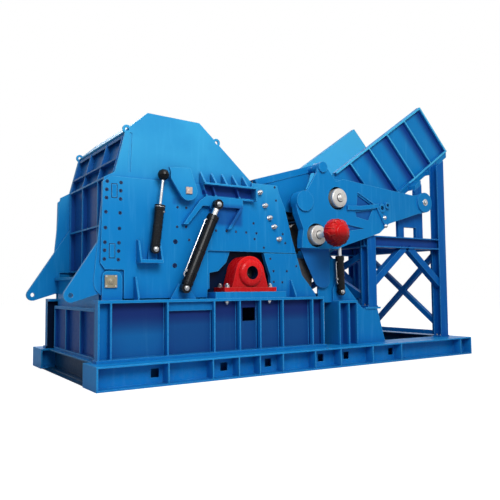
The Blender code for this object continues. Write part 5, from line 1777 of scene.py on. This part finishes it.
@dataclass
class Tower:
    """Braced tower, arm stand and feed chute.

    Attributes:
        outer: Outer face of the posts.
        inner: Inner face of the posts.
        posts: Middles of the posts along X, standing on foot_levels.
        bolt_step: Distance of a foot bolt from the post's middle along X.
        bolt_inset: Distance of a foot bolt from the post's faces.
        body: The body that it moves with.
    """

    outer: float = 1.634
    inner: float = 1.394
    posts: Flat = (1.825, 4.245)
    foot_levels: Flat = (1.2103, 0.4303)
    bolt_step: float = 0.075
    bolt_inset: float = 0.065
    body: str = "frame"

    def build(self, nodes: Nodes) -> None:
        """Dress the nodes and bolt the feet down.

        Args:
            nodes: The frame's nodes.
        """
        # Painted shade on the tower frame's web.
        web = Zone(x=(1.95, 4.12), y=(1.42, 1.60), z=(2.555, 2.765), soft=0.03, depth=0.6)
        # A darker copy of the blue: painted shade on the whole tower.
        deep = replace(TRIM, name="tower_blue", colour=TOWER_BLUE_SHADED, deep=TOWER_DEEP_SHADED)
        dress(nodes, replace(deep, name="tower_frame_blue", hollows=(web,)), both("tower_frame"))
        dress(nodes, deep, both("arm_stand") + ["tower_cross_left", "tower_cross_right"])
        # Painted light on the chute's inner face and on the ribs' outer edges.
        lit_inside = Zone(y=(-FAR, 1.150), z=(4.0, FAR), soft=0.004)
        lit_rims = Zone(y=(1.2585, FAR), z=(4.2, FAR), soft=0.002, depth=0.9)
        # A paler copy of the blue as painted light on the chute, with painted shade below its ribs.
        chute = replace(blue("chute_blue", (), (Bays(),), (lit_inside, lit_rims)), colour=CHUTE_BLUE_LIT)
        dress(nodes, chute, both("chute_side"))
        dress(nodes, TRIM, ["chute_floor"])
        for side in Side:
            forge = Forge()
            nut = Fastener(flats=0.020, height=0.018, washer=0.028, plate=0.005, tip=0.014, thread=0.012)
            for x, level in zip(self.posts, self.foot_levels):
                for step in (-self.bolt_step, self.bolt_step):
                    for y in (self.outer - self.bolt_inset, self.inner + self.bolt_inset):
                        nut.add(forge, at(side, x + step, y, level), UP)
            forge.build(f"post_bolts_{side.label}", ZINC, self.body, Slot.STEEL)


# Studio


@dataclass(frozen=True)
class Lamp:
    """A soft square lamp: its name, its place, what it faces, the length of its side and its watts."""

    name: str
    place: Place
    target: Place
    size: float
    power: float

    def hang(self) -> None:
        """Hang the lamp."""
        data = bpy.data.lights.new(self.name, "AREA")
        data.shape = "SQUARE"
        data.size = self.size
        data.energy = self.power
        lamp = bpy.data.objects.new(self.name, data)
        lamp.location = self.place
        lamp.rotation_mode = "QUATERNION"
        lamp.rotation_quaternion = (Vector(self.target) - Vector(self.place)).to_track_quat("-Z", "Y")
        bpy.context.scene.collection.objects.link(lamp)


@dataclass
class Studio:
    """Camera at the photograph's viewpoint, white surroundings, pale floor and soft lamps.

    Attributes:
        station: Place of the camera.
        yaw, pitch, roll: Its turns in radians.
        focal: Its focal length in millimetres.
        floor_half: Half the floor's side.
        world: Strength of the light from all round.
        lamps: The lamps.
    """

    station: Place = (-7.6478, -11.1214, 1.6)
    yaw: float = 0.5785
    pitch: float = 0.0668
    roll: float = -0.0082
    focal: float = 42.0576
    floor_half: float = 60.0
    world: float = 0.24
    lamps: tuple[Lamp, ...] = (
        Lamp("key_lamp", place=(-5.0, -13.5, 10.5), target=(-0.8, 0.0, 2.4), size=7.0, power=1700.0),
        Lamp("left_lamp", place=(-16.0, -6.0, 9.0), target=(-1.0, 0.0, 2.2), size=8.0, power=45.0),
        Lamp("top_lamp", place=(1.0, 1.0, 17.0), target=(0.0, 0.0, 2.0), size=10.0, power=640.0),
        Lamp("back_lamp", place=(4.0, 15.0, 12.0), target=(0.0, 0.0, 2.4), size=8.0, power=880.0),
    )

    def build(self) -> None:
        """Make the camera, floor, world and lamps."""
        self._camera()
        self._floor()
        self._world()
        for lamp in self.lamps:
            lamp.hang()
        bpy.context.scene.view_settings.view_transform = "Standard"

    def _camera(self) -> None:
        """Place the camera."""
        data = bpy.data.cameras.new("camera")
        data.sensor_width = 36.0
        data.lens = self.focal
        data.clip_end = 300.0
        camera = bpy.data.objects.new("camera", data)
        bpy.context.scene.collection.objects.link(camera)
        level = math.cos(self.pitch)
        ahead = Vector((math.sin(self.yaw) * level, math.cos(self.yaw) * level, math.sin(self.pitch)))
        flat = Vector((math.cos(self.yaw), -math.sin(self.yaw), 0.0))
        up = flat.cross(ahead)
        right = flat * math.cos(self.roll) + up * math.sin(self.roll)
        over = up * math.cos(self.roll) - flat * math.sin(self.roll)
        turn = Matrix((right, over, -ahead)).transposed().to_4x4()
        camera.matrix_world = Matrix.Translation(self.station) @ turn
        bpy.context.scene.camera = camera

    def _floor(self) -> None:
        """Pale floor that turns white for the camera and keeps the machine's shadow."""
        mesh = bpy.data.meshes.new("floor")
        h = self.floor_half
        mesh.from_pydata([(-h, -h, 0.0), (h, -h, 0.0), (h, h, 0.0), (-h, h, 0.0)], [], [(0, 1, 2, 3)])
        floor = bpy.data.objects.new("floor", mesh)
        bpy.context.scene.collection.objects.link(floor)
        graph = Graph(bpy.data.materials.new("studio_floor"))
        seen = graph.add("ShaderNodeLightPath", output="Is Camera Ray")
        graph.set(
            Base_Color=(0.55, 0.55, 0.55, 1.0),
            Roughness=0.9,
            Emission_Color=graph.mix(seen, (0.0, 0.0, 0.0, 1.0), (1.0, 1.0, 1.0, 1.0)),
            Emission_Strength=0.80,
        )
        mesh.materials.append(graph.owner)

    def _world(self) -> None:
        """White behind the machine, even soft light from all round."""
        world = bpy.data.worlds.new("studio")
        bpy.context.scene.world = world
        graph = Graph(world)
        graph.tree.nodes.remove(graph.tree.nodes["Background"])
        rays = ("Camera", "Glossy", "Transmission")
        camera, glossy, through = (graph.add("ShaderNodeLightPath", output=f"Is {name} Ray") for name in rays)
        light = graph.add("ShaderNodeBackground", {}, {"Color": (0.93, 0.96, 1.0, 1.0), "Strength": self.world})
        white = graph.add("ShaderNodeBackground", {}, {"Color": (1.0, 1.0, 1.0, 1.0), "Strength": 1.0})
        seen = camera.most(glossy).most(through)
        mixed = graph.add("ShaderNodeMixShader", {}, {0: seen, 1: light, 2: white})
        graph.feed(graph.tree.nodes["World Output"].inputs["Surface"], mixed)


def main() -> None:
    """Build the machine's dressing in order."""
    logging.basicConfig(level=logging.INFO, format="%(name)s %(message)s")
    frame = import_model()
    nodes = frame["nodes"]
    lift = Cylinder(
        "lift", eye=(-2.87, 1.629), head=(-2.19, 3.19), middle=1.675, radius=0.105, length=1.43,
        eye_radius=0.095, pin=0.036, rod_reach=0.100, rod=0.060, pipe=0.013,
    )
    gate = Cylinder(
        "gate", eye=(-3.43, 2.316), head=(-3.27, 3.66), middle=1.60, radius=0.085, length=0.775,
        eye_radius=0.080, pin=0.036, rod_reach=0.100, rod=0.026, ball=True,
    )
    arm = Cylinder(
        "arm", eye=(0.92, 1.527), head=(0.88, 2.60), middle=1.594, radius=0.085, length=0.74,
        eye_radius=0.080, pin=0.036, rod_reach=0.090, rod=0.045, pipe=0.011,
    )
    base = (Skid(), Pedestal(), Housing(), RotorLine(), RejectGate())
    for assembly in (*base, lift, gate, arm, FeedArm(), Rollers(), Tower()):
        LOG.info("building %s", type(assembly).__name__)
        assembly.build(nodes)
    Studio().build()


if __name__ == "__main__":
    main()
